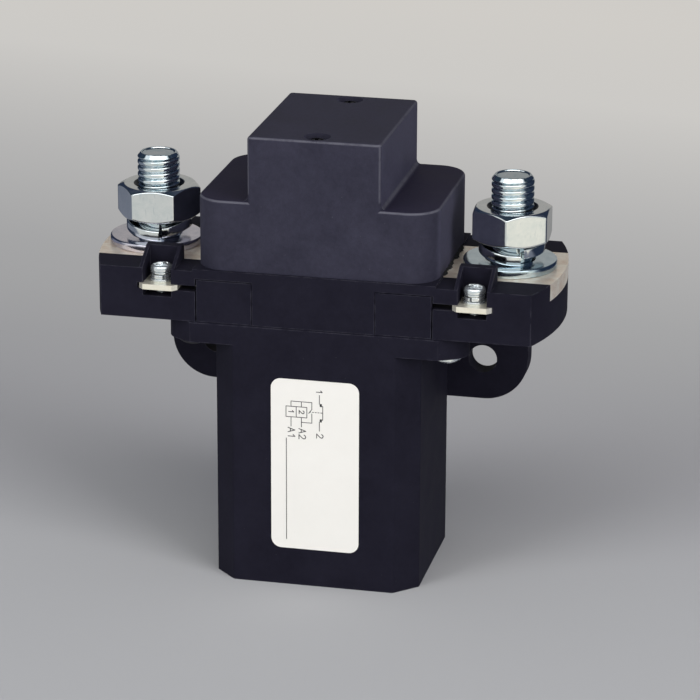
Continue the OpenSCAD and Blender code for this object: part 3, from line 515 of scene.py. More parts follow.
# the cover's screw holes lie half a head in from the ends of the heads, and its step 15.6 mm below the top
holeLow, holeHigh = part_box("cover_screws")
coverHoleY = holeHigh.y - 0.5 * (holeHigh.x - holeLow.x)
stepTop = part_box("arc_cover")[1].z - 0.0156
blackLook = {
    "dark": (0.0086, 0.0080, 0.0146), "light": (0.0148, 0.0140, 0.0236), "edge": (0.076, 0.074, 0.094),
    "dust": (0.16, 0.16, 0.17), "gloss": 0.08, "rough": 0.60, "roughSpan": 0.14, "grain": 0.00022,
    "fleck": 0.35, "patch": 0.012, "edgeReach": 0.00035, "edgeShare": 0.5, "bump": 0.25,
    "contrast": 2.2, "mottle": 0.15,
}
coverLook = {
    "dark": (0.0232, 0.0224, 0.0366), "light": (0.0410, 0.0395, 0.0606), "edge": (0.112, 0.110, 0.136),
    "dust": (0.20, 0.20, 0.21), "gloss": 0.14, "rough": 0.58, "roughSpan": 0.14, "grain": 0.00030,
    "fleck": 0.4, "patch": 0.016, "edgeShare": 0.9, "bump": 0.35, "contrast": 2.2, "mottle": 0.22,
    "calm": (0.0, coverHoleY, 0.00345), "shoulderShade": (stepTop + 0.004, 0.50, (0.008, 0.004, 0.022)),
    "rim": (stepTop + 0.0015, 0.004, 0.45), "sideLight": 1.6,
}
creamLook = {
    "dark": (0.62, 0.57, 0.46), "light": (0.70, 0.66, 0.54), "edge": (0.78, 0.75, 0.66),
    "dust": (0.5, 0.48, 0.42), "gloss": 0.5, "rough": 0.38, "roughSpan": 0.15, "grain": 0.0003,
    "fleck": 0.3, "patch": 0.01, "edgeReach": 0.0003, "edgeShare": 0.4, "bump": 0.2,
    "contrast": 1.6, "mottle": 0.15,
}
rubberLook = dict(creamLook, dark=(0.011, 0.011, 0.012), light=(0.018, 0.018, 0.019), edge=(0.05, 0.05, 0.05),
                  dust=(0.15, 0.15, 0.15), gloss=0.3, rough=0.62, roughSpan=0.2, grain=0.0002, fleck=0.5,
                  patch=0.006, bump=0.5)
inkLook = dict(rubberLook, dark=(0.02, 0.02, 0.022), light=(0.05, 0.05, 0.055))
leadLook = dict(creamLook, dark=(0.42, 0.02, 0.018), light=(0.55, 0.04, 0.03), edge=(0.6, 0.1, 0.08), rough=0.35)
tapeLook = dict(creamLook, dark=(0.62, 0.43, 0.08), light=(0.75, 0.55, 0.14), edge=(0.8, 0.65, 0.25), rough=0.22)

zincLook = {
    "dark": (0.70, 0.76, 0.79), "light": (0.84, 0.865, 0.88), "stroke": (0.40, 0.50, 0.60), "strokeShare": 0.25,
    "stretch": (1.0, 1.0, 0.25), "line": 0.0006, "patch": 0.003, "rough": 0.07, "roughSpan": 0.10, "bump": 0.10,
    "contrast": 2.2, "edgeReach": 0.0002, "edgeShare": 0.6, "metal": 1.0, "rim": (1.0, 1.0, 1.0),
}
screwLook = dict(zincLook, metal=0.84, rough=0.16, roughSpan=0.08, bump=0.04)
threadLook = dict(zincLook, rim=(0.66, 0.69, 0.74), dark=(0.56, 0.70, 0.76), light=(0.92, 0.94, 0.95), rough=0.04,
                  roughSpan=0.05, bump=0.03, edgeShare=0.0)
washerLook = dict(zincLook, dark=(0.60, 0.66, 0.73), light=(0.88, 0.88, 0.92), patch=0.006, stretch=(0.35, 1.0, 1.0),
                  line=0.0005, rough=0.10)
copperLook = dict(zincLook, dark=(0.55, 0.24, 0.13), light=(0.80, 0.43, 0.28), stroke=(0.42, 0.16, 0.08),
                  strokeShare=0.4, stretch=(0.05, 1.0, 1.0), line=0.0003, patch=0.006, rough=0.24, roughSpan=0.2,
                  bump=0.2, edgeShare=0.4)
tinLook = dict(copperLook, dark=(0.74, 0.57, 0.43), light=(1.0, 0.97, 0.87), stroke=(0.42, 0.29, 0.21),
               strokeShare=0.55, stretch=(0.04, 1.0, 1.0), line=0.00035, patch=0.004, rough=0.22, bump=0.22,
               metal=0.52)
tabLook = dict(copperLook, dark=(0.97, 0.91, 0.75), light=(1.0, 0.97, 0.86), stroke=(0.74, 0.64, 0.48),
               strokeShare=0.25, stretch=(1.0, 0.06, 1.0), patch=0.003, rough=0.13, roughSpan=0.10, bump=0.10,
               metal=0.66)
brassLook = dict(copperLook, dark=(0.60, 0.43, 0.16), light=(0.83, 0.66, 0.32), stroke=(0.45, 0.30, 0.10))
silverLook = dict(copperLook, dark=(0.70, 0.69, 0.66), light=(0.88, 0.87, 0.84), stroke=(0.5, 0.48, 0.44))
steelLook = dict(copperLook, dark=(0.40, 0.41, 0.43), light=(0.62, 0.63, 0.65), stroke=(0.3, 0.3, 0.31))
springLook = dict(steelLook, dark=(0.30, 0.31, 0.33), light=(0.55, 0.56, 0.58), rough=0.2)
blackScrewLook = dict(steelLook, dark=(0.035, 0.035, 0.042), light=(0.075, 0.075, 0.085), stroke=(0.14, 0.14, 0.15),
                      rough=0.34)

# tints of the plated parts, painted shade on the flange screws and nuts, and where these lie
tintsAndShade = {
    "screwShade": (0.016, 0.015, 0.022),
    "screwShadeRough": 0.5,
    "lilac": (1.0, 0.94, 1.0),
    "green": (0.84, 0.97, 1.0),
    "grime": (0.05, 0.055, 0.065),
    "grimeRough": 0.3,
    "sink": (0.0061, 0.0059),
    "leeShare": 0.55,
    "leeFacing": (0.70, 0.80),
    "halfWay": 0.001,
}
studX = {"Left": -42.55, "Right": 42.55}


def paintScrewShade(tree, skin):
    # painted shade: the flange screws on the left are made dark, dull and not metallic; those on the right keep their
    # plating
    left = spread(tree, axesOf(tree, "Object")["X"], tintsAndShade["halfWay"], -tintsAndShade["halfWay"])
    skin["Base_Color"] = blendColour(tree, left, skin["Base_Color"], tintsAndShade["screwShade"])
    skin["Roughness"] = mathNode(tree, "MULTIPLY_ADD", left, tintsAndShade["screwShadeRough"], skin["Roughness"])
    skin["Metallic"] = mathNode(tree, "MULTIPLY_ADD", left, -skin["Metallic"], skin["Metallic"])


def passivated(tree, skin):
    # the clear passivation has a lilac cast on one washer and a green one on the other
    right = spread(tree, axesOf(tree, "Object")["X"], -tintsAndShade["halfWay"], tintsAndShade["halfWay"])
    tint = blendColour(tree, right, tintsAndShade["lilac"], tintsAndShade["green"])
    skin["Base_Color"] = blendColour(tree, 1.0, skin["Base_Color"], tint, "MULTIPLY")


def paintNutShade(tree, skin):
    # painted shade: darkens the countersinks round the studs, and the left nut where it faces the cover
    inside = spread(tree, axisDistance(tree, (studX["Right"] * mm, 0.0)), *tintsAndShade["sink"])
    left = spread(tree, axesOf(tree, "Object")["X"], tintsAndShade["halfWay"], -tintsAndShade["halfWay"], 0.0, tintsAndShade["leeShare"])
    lee = mathNode(tree, "MULTIPLY", left, spread(tree, axesOf(tree, "Normal")["X"], *tintsAndShade["leeFacing"]))
    dulled = blendColour(tree, lee, skin["Base_Color"], tintsAndShade["grime"])
    skin["Base_Color"] = blendColour(tree, inside, dulled, tintsAndShade["grime"])
    skin["Roughness"] = mathNode(tree, "MULTIPLY_ADD", inside, tintsAndShade["grimeRough"], skin["Roughness"])


windingLook = {
    "dark": (0.36, 0.09, 0.03), "light": (0.58, 0.20, 0.08), "between": (0.16, 0.035, 0.015), "turns": 330.0,
    "patch": 0.006, "contrast": 1.5, "metal": 0.85, "rough": 0.28, "bump": 0.8,
}
labelLook = {
    "dark": (0.87, 0.843, 0.785), "light": (0.92, 0.893, 0.835), "dirt": (0.45, 0.44, 0.42), "gloss": 0.4,
    "rough": (0.34, 0.46), "patch": 0.008, "contrast": 1.2, "grain": 0.0006, "fleck": 0.25, "bump": 0.12,
}


def windingMaterial(look):
    # enamelled wire laid turn by turn
    material, tree, surface = newMaterial("enamelledWire")
    turns = addNode(tree, "ShaderNodeTexWave", wave_type="BANDS", bands_direction="Z", Vector=onPart(tree),
                    Scale=look["turns"]).outputs["Fac"]
    cloud = useGroup(tree, cloudTone, Patch_Size=look["patch"], Contrast=look["contrast"])["Tone"]
    colour = blendColour(tree, turns, look["between"], blendColour(tree, cloud, look["dark"], look["light"]))
    skinned(tree, surface, turns, look["bump"], reliefDepth["wire"], Base_Color=colour, Metallic=look["metal"],
            Roughness=look["rough"])
    return material


def labelMaterial(look):
    # white film with a faint orange-peel gloss and dirt that gathers at random
    material, tree, surface = newMaterial("labelFilm")
    cloud = useGroup(tree, cloudTone, Patch_Size=look["patch"], Contrast=look["contrast"])["Tone"]
    grain = useGroup(tree, mouldGrain, Grain_Size=look["grain"], Fleck_Amount=look["fleck"])
    colour = blendColour(tree, cloud, look["dark"], look["light"])
    skinned(tree, surface, grain["Height"], look["bump"], reliefDepth["film"], Specular_IOR_Level=look["gloss"],
            Base_Color=blendColour(tree, grain["Fleck"], colour, look["dirt"]),
            Roughness=spread(tree, cloud, 0, 1, *look["rough"]))
    return material


blackMoulding = mouldedPlastic("blackMoulding", blackLook)
coverMoulding = mouldedPlastic("coverMoulding", coverLook)
creamMoulding = mouldedPlastic("creamMoulding", creamLook)
blackRubber = mouldedPlastic("blackRubber", rubberLook)
wireInsulation = mouldedPlastic("wireInsulation", leadLook)
insulatingTape = mouldedPlastic("insulatingTape", tapeLook)
labelInk = mouldedPlastic("labelInk", inkLook)
labelFilm = labelMaterial(labelLook)
brightZinc = workedMetal("brightZinc", zincLook)
flatZinc = workedMetal("flatZinc", washerLook, passivated)
screwZinc = workedMetal("screwZinc", screwLook)
threadZinc = workedMetal("threadZinc", threadLook)
tinnedCopper = workedMetal("tinnedCopper", tinLook)
tinnedBrass = workedMetal("tinnedBrass", tabLook)
bareCopper = workedMetal("bareCopper", copperLook)
turnedBrass = workedMetal("turnedBrass", brassLook)
silverAlloy = workedMetal("silverAlloy", silverLook)
platedSteel = workedMetal("platedSteel", steelLook)
springSteel = workedMetal("springSteel", springLook)
blackenedSteel = workedMetal("blackenedSteel", blackScrewLook)
flangeZinc = workedMetal("flangeZinc", screwLook, paintScrewShade)
nutZinc = workedMetal("nutZinc", zincLook, paintNutShade)
enamelledCopper = windingMaterial(windingLook)


columnStep, rowStep = 220, 200


def layOut(tree):
    # columns that run from the output on the right back to what feeds it
    depth = {}
    waiting = [(node, 0) for node in tree.nodes if not any(socket.is_linked for socket in node.outputs)]
    while waiting:
        node, column = waiting.pop()
        if column > depth.get(node.name, -1):
            depth[node.name] = column
            waiting += [(link.from_node, column + 1) for socket in node.inputs for link in socket.links]
    filled = {}
    for name, column in depth.items():
        filled[column] = filled.get(column, 0) + 1
        tree.nodes[name].location = (-columnStep * column, -rowStep * filled[column])


for tree in ownTrees:
    layOut(tree)
print("materials ready")


# small helpers for meshes, which are measured in millimetres
def smoothed(data, angle):
    # smooth faces, with an edge kept wherever they meet at more than the angle
    for face in data.polygons:
        face.use_smooth = True
    data.set_sharp_from_angle(angle=math.radians(angle))


def meshPiece(name, shape, material, body, smooth=30):
    data = bpy.data.meshes.new(name)
    data.from_pydata([tuple(c * mm for c in p) for p in shape.points], [], shape.faces)
    data.validate()
    tidy = bmesh.new()
    tidy.from_mesh(data)
    bmesh.ops.remove_doubles(tidy, verts=tidy.verts, dist=1e-7)
    bmesh.ops.recalc_face_normals(tidy, faces=tidy.faces)
    tidy.to_mesh(data)
    tidy.free()
    smoothed(data, smooth)
    data.materials.append(material)
    piece = bpy.data.objects.new(name, data)
    scene.collection.objects.link(piece)
    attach(piece, body)
    return piece


def circleWays(sides):
    return [(math.cos(2 * math.pi * k / sides), math.sin(2 * math.pi * k / sides)) for k in range(sides)]


def levelRow(centre, radius, z, ways):
    return [(centre[0] + radius * wx, centre[1] + radius * wy, z) for wx, wy in ways]


def smoothStep(low, high, value):
    t = min(1.0, max(0.0, (value - low) / (high - low)))
    return t * t * (3 - 2 * t)


def roundedSection(inner, outer, low, high, radius):
    # section of a flat ring with rounded corners, as radius and height
    section = []
    for cr, cz, first in ((outer - radius, high - radius, 0), (inner + radius, high - radius, 90),
                          (inner + radius, low + radius, 180), (outer - radius, low + radius, 270)):
        for k in range(5):
            a = math.radians(first + 90 * k / 4)
            section.append((cr + radius * math.cos(a), cz + radius * math.sin(a)))
    return section


class Shape:
    # a growing list of points and faces
    def __init__(self):
        self.points = []
        self.faces = []

    def rows(self, rows, closed=False, capFirst=False, capLast=False):
        base, count = len(self.points), len(rows[0])
        for row in rows:
            self.points.extend(row)
        for i in range(len(rows) if closed else len(rows) - 1):
            low = base + i * count
            high = base + ((i + 1) % len(rows)) * count
            for k in range(count):
                n = (k + 1) % count
                self.faces.append((low + k, low + n, high + n, high + k))
        if capFirst:
            self.faces.append(tuple(base + k for k in range(count))[::-1])
        if capLast:
            self.faces.append(tuple(len(self.points) - count + k for k in range(count)))

    def lathe(self, section, centre, sides):
        self.rows([levelRow(centre, r, z, circleWays(sides)) for r, z in section], closed=True)


# pairs are a radius, or a limit of it, and a height; the dish is given downwards from the tip
stud = {
    "headAcross": 17.4, "headCut": 0.16, "head": ((8.1, 0.0), (20.0, 1.0), (20.0, 6.3)),
    "neck": ((5.2, 6.3), (4.9, 6.6)), "shank": 4.9, "threadLow": 81.5, "threadEnd": 0.06, "major": 5.0, "depth": 0.64,
    "sharp": 3.4, "lead": 1.5, "flat": 4.3, "slope": 0.80, "ragged": (0.05, 9, 1.3), "fadeIn": True,
    "sides": 96, "rowsPerTurn": 20,
    "dish": ((4.2, 0.0), (3.95, 0.0), (3.84, 0.06), (3.74, 0.22), (3.6, 0.3), (3.3, 0.34), (1.6, 0.36), (0.05, 0.36)),
    "crispFrom": 0.45, "crispAngle": 22,
}


def threadedRun(centre, thread, lowZ, highZ):
    count = max(2, round((highZ - lowZ) / thread["lead"] * thread["rowsPerTurn"]))
    shank, (ragged, waves, phase) = thread["shank"], thread["ragged"]
    rows = []
    for i in range(count + 1):
        z = lowZ + (highZ - lowZ) * i / count
        limit = thread["flat"] + (highZ - z) * thread["slope"]
        fade = smoothStep(lowZ, lowZ + thread["lead"], z) if thread["fadeIn"] else 1.0
        row = []
        for k in range(thread["sides"]):
            turn = k / thread["sides"]
            a = 2 * math.pi * turn
            # rolled profile: broad round crests and sharp roots, and a chamfer that is a little uneven
            away = abs(((z / thread["lead"] - turn) % 1.0) - 0.5) * 2
            crest = thread["major"] - thread["depth"] * away ** thread["sharp"]
            r = min(shank + (crest - shank) * fade, limit + ragged * math.sin(waves * a + phase))
            row.append((centre[0] + r * math.cos(a), centre[1] + r * math.sin(a), z))
        rows.append(row)
    return rows


def hexRow(centre, z, limit):
    row = []
    for k in range(stud["sides"]):
        a = 2 * math.pi * k / stud["sides"]
        inside = math.radians((math.degrees(a) + 30) % 60 - 30)
        across = stud["headAcross"]
        r = min(across / 2 / math.cos(inside), across / math.sqrt(3) - stud["headCut"], limit)
        row.append((centre[0] + r * math.cos(a), centre[1] + r * math.sin(a), z))
    return row


def crispEnd(piece, above, angle):
    # the turned end keeps its edges, while the rolled thread stays soft
    data = piece.data
    check = bmesh.new()
    check.from_mesh(data)
    sharp = [edge.index for edge in check.edges
             if min(v.co.z for v in edge.verts) > above and edge.calc_face_angle(0) > math.radians(angle)]
    check.free()
    for index in sharp:
        data.edges[index].use_edge_sharp = True


def terminalStud(side, node):
    low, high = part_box(node)
    centre = ((low.x + high.x) / 2 / mm, 0.0)
    foot, tip = low.z / mm, high.z / mm
    ways = circleWays(stud["sides"])
    head = [hexRow(centre, foot + z, limit) for limit, z in stud["head"]]
    neck = [levelRow(centre, r, foot + z, ways) for r, z in stud["neck"]]
    thread = threadedRun(centre, stud, stud["threadLow"], tip - stud["threadEnd"])
    dish = [levelRow(centre, r, tip - down, ways) for r, down in stud["dish"]]
    shape = Shape()
    shape.rows(head + neck + thread + dish, capFirst=True, capLast=True)
    piece = meshPiece("terminalStud" + side, shape, threadZinc, "housing", 60)
    crispEnd(piece, (tip - stud["crispFrom"]) * mm, stud["crispAngle"])
    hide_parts(node)


springWasher = {
    "inner": 5.15, "outer": 7.8, "corner": 0.38, "thick": 2.5, "gap": 6.0, "steps": 160, "fall": (0.60, 1.02),
    "dipTo": 0.17, "burr": 0.12, "burrTo": 0.015, "dips": {"Left": 1.15, "Right": 0.4},
    "starts": {"Left": 287.0, "Right": 298.0},
}


def springRing(shape, centre, ring, start, lowZ, rise):
    # rounded section swept round, high end first, low end last
    inner, outer = ring["inner"], ring["outer"]
    section = roundedSection(inner, outer, 0, ring["thick"], ring["corner"])
    rows = []
    for i in range(ring["steps"] + 1):
        t = i / ring["steps"]
        a = math.radians(start + ring["gap"] / 2 + (360 - ring["gap"]) * t)
        lift = lowZ + rise * (1 - smoothStep(*ring["fall"], t))
        lift -= ring["dip"] * smoothStep(ring["dipTo"], 0.0, t)
        # the cut ends are slightly dragged and burred
        flare = ring["burr"] * (smoothStep(1 - ring["burrTo"], 1.0, t) + smoothStep(ring["burrTo"], 0.0, t))
        row = []
        for r, z in section:
            r += flare * (r - inner) / (outer - inner)
            row.append((centre[0] + r * math.cos(a), centre[1] + r * math.sin(a), lift + z))
        rows.append(row)
    shape.rows(rows, capFirst=True, capLast=True)


def springWasherPiece(side, node):
    low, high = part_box(node)
    rise = (high.z - low.z) / mm - springWasher["thick"]
    ring = dict(springWasher, dip=springWasher["dips"][side])
    shape = Shape()
    springRing(shape, (studX[side], 0.0), ring, springWasher["starts"][side], low.z / mm, rise)
    piece = meshPiece("springWasher" + side, shape, brightZinc, "housing", 40)
    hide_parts(node)


plainWasher = {"hole": 5.8, "round": 0.38, "sides": 144}


def plainWasherPiece(side, node):
    low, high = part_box(node)
    centre = ((low.x + high.x) / 2 / mm, (low.y + high.y) / 2 / mm)
    outer = (high.x - low.x) / 2 / mm
    section = roundedSection(plainWasher["hole"], outer, low.z / mm, high.z / mm, plainWasher["round"])
    shape = Shape()
    shape.lathe(section, centre, plainWasher["sides"])
    piece = meshPiece("plainWasher" + side, shape, flatZinc, "housing", 40)
    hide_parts(node)


# loops keep the edges round: distances out from the turned face, then inset and depth where its cone meets the flats
hexNut = {
    "across": 17.4, "corner": 0.5, "faceShare": 0.955, "slope": 0.577, "turns": {"Left": 5.5, "Right": 32.0},
    "bore": 4.52, "sink": 6.0, "sinkDeep": 1.5, "lip": 0.15, "lipDeep": 0.05,
    "faceLoops": (-0.35, -0.1, 0.12), "flatLoops": ((0.16, -0.09232), (0.06, 0.02), (0.0, 0.16), (0.0, 0.36)),
    "shares": (-0.94, -0.72, -0.48, -0.24, 0.0, 0.24, 0.48, 0.72, 0.94),
}


def hexOutline(across, corner, turned):
    # flat sides that meet in small rounded corners
    half = across / 2
    centreOut = across / math.sqrt(3) - corner * 2 / math.sqrt(3)
    reach = (half - corner) * math.tan(math.radians(30))
    points = []
    for side in range(6):
        turn = math.radians(30 + turned + 60 * side)
        corn = turn - math.radians(30)
        for k in range(5):
            a = corn + math.radians(15 * k - 30)
            points.append((centreOut * math.cos(corn) + corner * math.cos(a),
                           centreOut * math.sin(corn) + corner * math.sin(a)))
        for share in hexNut["shares"]:
            points.append((half * math.cos(turn) - share * reach * math.sin(turn),
                           half * math.sin(turn) + share * reach * math.cos(turn)))
    return points


def hexNutPiece(side, node):
    low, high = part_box(node)
    foot, top = low.z / mm, high.z / mm
    sink, bore, deep, lipDeep = (hexNut[key] for key in ("sink", "bore", "sinkDeep", "lipDeep"))
    face = hexNut["across"] / 2 * hexNut["faceShare"]
    outline = hexOutline(hexNut["across"], hexNut["corner"], hexNut["turns"][side])
    reaches = [math.hypot(x, y) for x, y in outline]
    ways = [(x / r, y / r) for (x, y), r in zip(outline, reaches)]
    # each loop holds a radius and a depth below the end face for every point of the outline
    loops = [[(sink + hexNut["lip"], 0.0)] * len(reaches)]
    for out in hexNut["faceLoops"]:
        loops.append([(face + out, max(0.0, out) * hexNut["slope"])] * len(reaches))
    for inset, down in hexNut["flatLoops"]:
        loops.append([(r - inset, (r - face) * hexNut["slope"] + down) for r in reaches])

    def outside(loop, height, sign):
        return [(studX[side] + r * wx, r * wy, height + sign * down) for (r, down), (wx, wy) in zip(loop, ways)]

    rows = [outside(loop, top, -1) for loop in loops] + [outside(loop, foot, 1) for loop in reversed(loops)]
    for r, z in ((sink, foot + lipDeep), (bore, foot + deep), (bore, top - deep), (sink, top - lipDeep)):
        rows.append(levelRow((studX[side], 0.0), r, z, ways))
    shape = Shape()
    shape.rows(rows, closed=True)
    piece = meshPiece("hexNut" + side, shape, nutZinc, "housing", 28)
    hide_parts(node)


for side, suffix in (("Left", "left"), ("Right", "right")):
    terminalStud(side, "terminal_stud_" + suffix)
    springWasherPiece(side, "spring_washer_" + suffix)
    plainWasherPiece(side, "plain_washer_" + suffix)
    hexNutPiece(side, "hex_nut_" + suffix)
print("stud hardware built")

# the rim is radius and height up to the crown; pairs below it are where a slope of the recess starts and ends
coilScrew = {
    "head": 2.6, "turns": (38.0, 72.0), "sides": 112, "crownRings": 20,
    "rim": ((2.25, 0.0), (2.44, 0.06), (2.47, 0.14), (2.47, 0.36), (2.44, 0.42), (2.20, 0.47), (2.14, 0.52),
            (2.20, 0.57), (2.50, 0.60), (2.57, 0.63), (2.60, 0.70), (2.60, 0.84), (2.585, 1.05), (2.54, 1.28),
            (2.46, 1.48), (2.35, 1.65), (2.20, 1.80), (2.03, 1.92)),
    "recess": 1.15, "armEnd": (1.0725, 1.95), "armSide": (0.39, 0.598), "middle": (0.55, 0.85), "middleShare": 0.95,
    "recessRim": (2.3, 2.0),
    "thread": {"shank": 1.4, "major": 1.5, "depth": 0.3, "lead": 0.5, "sharp": 1.2, "flat": 1.1, "slope": 1.2,
               "ragged": (0.05, 9, 1.3), "fadeIn": False, "sides": 36, "rowsPerTurn": 6},
}
coilWasher = {"hole": 1.65, "outer": 2.72, "thick": 0.7, "round": 0.14, "sides": 72}
coilSpringWasher = {
    "inner": 1.62, "outer": 2.48, "corner": 0.16, "thick": 0.9, "gap": 7.0, "steps": 72, "fall": (0.0, 1.02),
    "dipTo": 0.17, "dip": 0.0, "burr": 0.12, "burrTo": 0.015, "starts": (292.0, 262.0), "above": 0.02, "rise": 0.16,
}


def panHead(shape, centre, headLow, headHigh, turned):
    lastR, lastZ = coilScrew["rim"][-1]
    rings, sides = coilScrew["crownRings"], coilScrew["sides"]
    crown = [(lastR * (1 - i / rings), headHigh - (headHigh - lastZ) * (1 - i / rings) ** 2)
             for i in range(1, rings + 1)]
    rows = []
    for r, z in coilScrew["rim"] + tuple(crown):
        row = []
        for k in range(sides):
            a = 2 * math.pi * k / sides
            x, y = r * math.cos(a - turned), r * math.sin(a - turned)
            reach = 1 - smoothStep(*coilScrew["armEnd"], max(abs(x), abs(y)))
            narrow = 1 - smoothStep(*coilScrew["armSide"], min(abs(x), abs(y)))
            middle = 1 - smoothStep(*coilScrew["middle"], math.hypot(x, y))
            cross = max(reach * narrow, middle * coilScrew["middleShare"])
            sink = coilScrew["recess"] * cross * smoothStep(*coilScrew["recessRim"], r)
            row.append((centre[0] + r * math.cos(a), centre[1] + r * math.sin(a), headLow + z - sink))
        rows.append(row)
    shape.rows(rows, capLast=True)
    shape.rows([levelRow(centre, r, headLow, circleWays(sides))
                for r in (coilScrew["rim"][0][0], coilScrew["thread"]["shank"])])


def coilScrewPieces():
    low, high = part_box("coil_screws")
    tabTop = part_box("coil_tab_left")[1].z / mm
    foot, headLow = low.z / mm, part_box("coil_screw_washers")[1].z / mm
    plainHigh = tabTop + coilWasher["thick"]
    section = roundedSection(coilWasher["hole"], coilWasher["outer"], tabTop, plainHigh, coilWasher["round"])
    springLow, springRise = plainHigh + coilSpringWasher["above"], coilSpringWasher["rise"]
    screws, rings = Shape(), Shape()
    for sign, edge, turned, start in zip((-1, 1), (low.x, high.x), coilScrew["turns"], coilSpringWasher["starts"]):
        centre = (edge / mm - sign * coilScrew["head"], (low.y + high.y) / 2 / mm)
        panHead(screws, centre, headLow, high.z / mm - headLow, math.radians(turned))
        # the thread is made point up, and turned over
        run = threadedRun(centre, coilScrew["thread"], foot, headLow)
        screws.rows([[(x, y, foot + headLow - z) for x, y, z in row] for row in run], capFirst=True, capLast=True)
        rings.lathe(section, centre, coilWasher["sides"])
        springRing(rings, centre, coilSpringWasher, start, springLow, springRise)
    piece = meshPiece("coilScrews", screws, screwZinc, "housing", 40)
    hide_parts("coil_screws")
    piece = meshPiece("coilScrewWashers", rings, screwZinc, "housing", 40)
    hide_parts("coil_screw_washers")


coilScrewPieces()

# printing on the label: a wiring diagram, read from the right, with plain terminal numbers
printing = {
    "line": 0.17,
    "markLine": 0.1955,
    "markStep": 0.95,
    "ink": 0.012,
    "wires": (
        ((1.6, 48.2), (1.6, 46.1)), ((1.6, 41.6), (1.6, 39.4)),
        ((2.4, 45.5), (2.4, 42.2)), ((1.75, 45.75), (2.4, 45.5)), ((1.75, 41.95), (2.4, 42.2)),
        ((-5.2, 45.0), (-5.2, 46.3), (-0.2, 46.3), (-0.2, 44.6), (-0.95, 43.6)),
        ((-2.7, 46.3), (-2.7, 45.0)), ((-0.2, 43.5), (-0.2, 41.2), (-2.7, 41.2)),
        ((-5.2, 42.4), (-5.2, 40.1)), ((-2.7, 42.4), (-2.7, 40.1)),
        ((-6.4, 45.0), (-1.4, 45.0), (-1.4, 42.4), (-6.4, 42.4), (-6.4, 45.0)), ((-3.95, 45.0), (-3.95, 42.4)),
        ((-6.35, 37.0), (-6.35, 11.6)),
    ),
    "dashes": {"from": 2.2, "to": -0.9, "z": 43.9, "long": 0.27, "step": 0.675},
    "blocks": (((1.95, 45.75), 0.5), ((1.95, 41.95), 0.5)),
    "marks": (("1", 0.9, 49.5, 1.35), ("2", 0.95, 38.6, 1.55), ("A1", -5.9, 39.7, 1.6), ("A2", -3.3, 39.6, 1.6),
              ("1", -5.75, 44.1, 1.2), ("2", -3.25, 44.1, 1.2)),
}
glyphs = {
    "1": (((0.12, 0.76), (0.38, 1.0), (0.38, 0.0)),),
    "2": (((0.02, 0.78), (0.14, 0.95), (0.34, 1.0), (0.54, 0.92), (0.6, 0.74), (0.5, 0.52), (0.0, 0.0), (0.64, 0.0)),),
    "A": (((0.0, 0.0), (0.34, 1.0), (0.68, 0.0)), ((0.12, 0.34), (0.56, 0.34))),
}


def labelPrinting():
    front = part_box("rating_label")[0].y / mm
    shape = Shape()

    def inkLine(line, width):
        # flat strokes, slightly proud of the film
        for first, second in zip(line, line[1:]):
            a, b = Vector(first), Vector(second)
            along = (b - a).normalized() * width / 2
            across = Vector((-along.y, along.x))
            ring = [a - along - across, b + along - across, b + along + across, a - along + across]
            shape.rows([[(p.x, y, p.y) for p in ring] for y in (front, front - printing["ink"])],
                       capFirst=True, capLast=True)

    for wire in printing["wires"]:
        inkLine(wire, printing["line"])
    dashes = printing["dashes"]
    x = dashes["from"]
    while x > dashes["to"]:
        inkLine(((x, dashes["z"]), (x - dashes["long"], dashes["z"])), printing["line"])
        x -= dashes["step"]
    for (x, z), size in printing["blocks"]:
        inkLine(((x, z - size / 4), (x, z + size / 4)), size)
    for text, x, z, high in printing["marks"]:
        for letter in text:
            for line in glyphs[letter]:
                inkLine([(x + py * high, z - px * high) for px, py in line], printing["markLine"])
            z -= printing["markStep"] * high
    meshPiece("labelPrinting", shape, labelInk, "housing")


labelPrinting()
print("coil screws and label built")

# dark ragged beads at the foot of the cover, where the bars enter; their section gives
# an offset from the wall, then shares of the reach and of the height
footBeads = {
    "half": 11.8, "steps": 160, "endShare": 0.05, "reach": 0.45, "least": (0.15, 0.1), "wander": 1.3, "ragged": 0.4,
    "tall": 0.7, "swell": (0.7, 0.6), "endTall": (0.35, 0.65), "coarse": (0.36, 3.7, 0.5), "fine": (1.62, 8.1, 2.5),
    "section": ((-0.3, 0.0, 0.0), (-0.3, 0.0, 1.0), (0.0, 0.35, 0.9), (0.0, 0.8, 0.55), (0.0, 1.0, 0.0)),
}


def darkFootBeads():
    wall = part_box("arc_cover")[1].x / mm
    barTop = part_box("fixed_contact_right")[1].z / mm
    (least, leastOut), (swell, swellSpan), (endTall, endSpan) = (footBeads[key] for key in ("least", "swell", "endTall"))
    shape = Shape()
    for sign in (-1, 1):
        rows = []
        for i in range(footBeads["steps"] + 1):
            share = i / footBeads["steps"]
            y = footBeads["half"] * (2 * share - 1)
            ends = smoothStep(0, footBeads["endShare"], share) * smoothStep(1, 1 - footBeads["endShare"], share)
            coarse, fine = (noise.noise(Vector((y * grain, first * sign, second)))
                            for grain, first, second in (footBeads["coarse"], footBeads["fine"]))
            spill = footBeads["reach"] + footBeads["wander"] * coarse + footBeads["ragged"] * fine
            reach = least + ends * max(leastOut, spill)
            tall = footBeads["tall"] * (swell + swellSpan * fine) * (endTall + endSpan * ends)
            rows.append([(sign * (wall + out + reach * far), y, barTop + tall * up)
                         for out, far, up in footBeads["section"]])
        shape.rows(rows, capFirst=True, capLast=True)
    meshPiece("darkFootBeads", shape, blackRubber, "housing", 35)


darkFootBeads()
print("sealant laid")

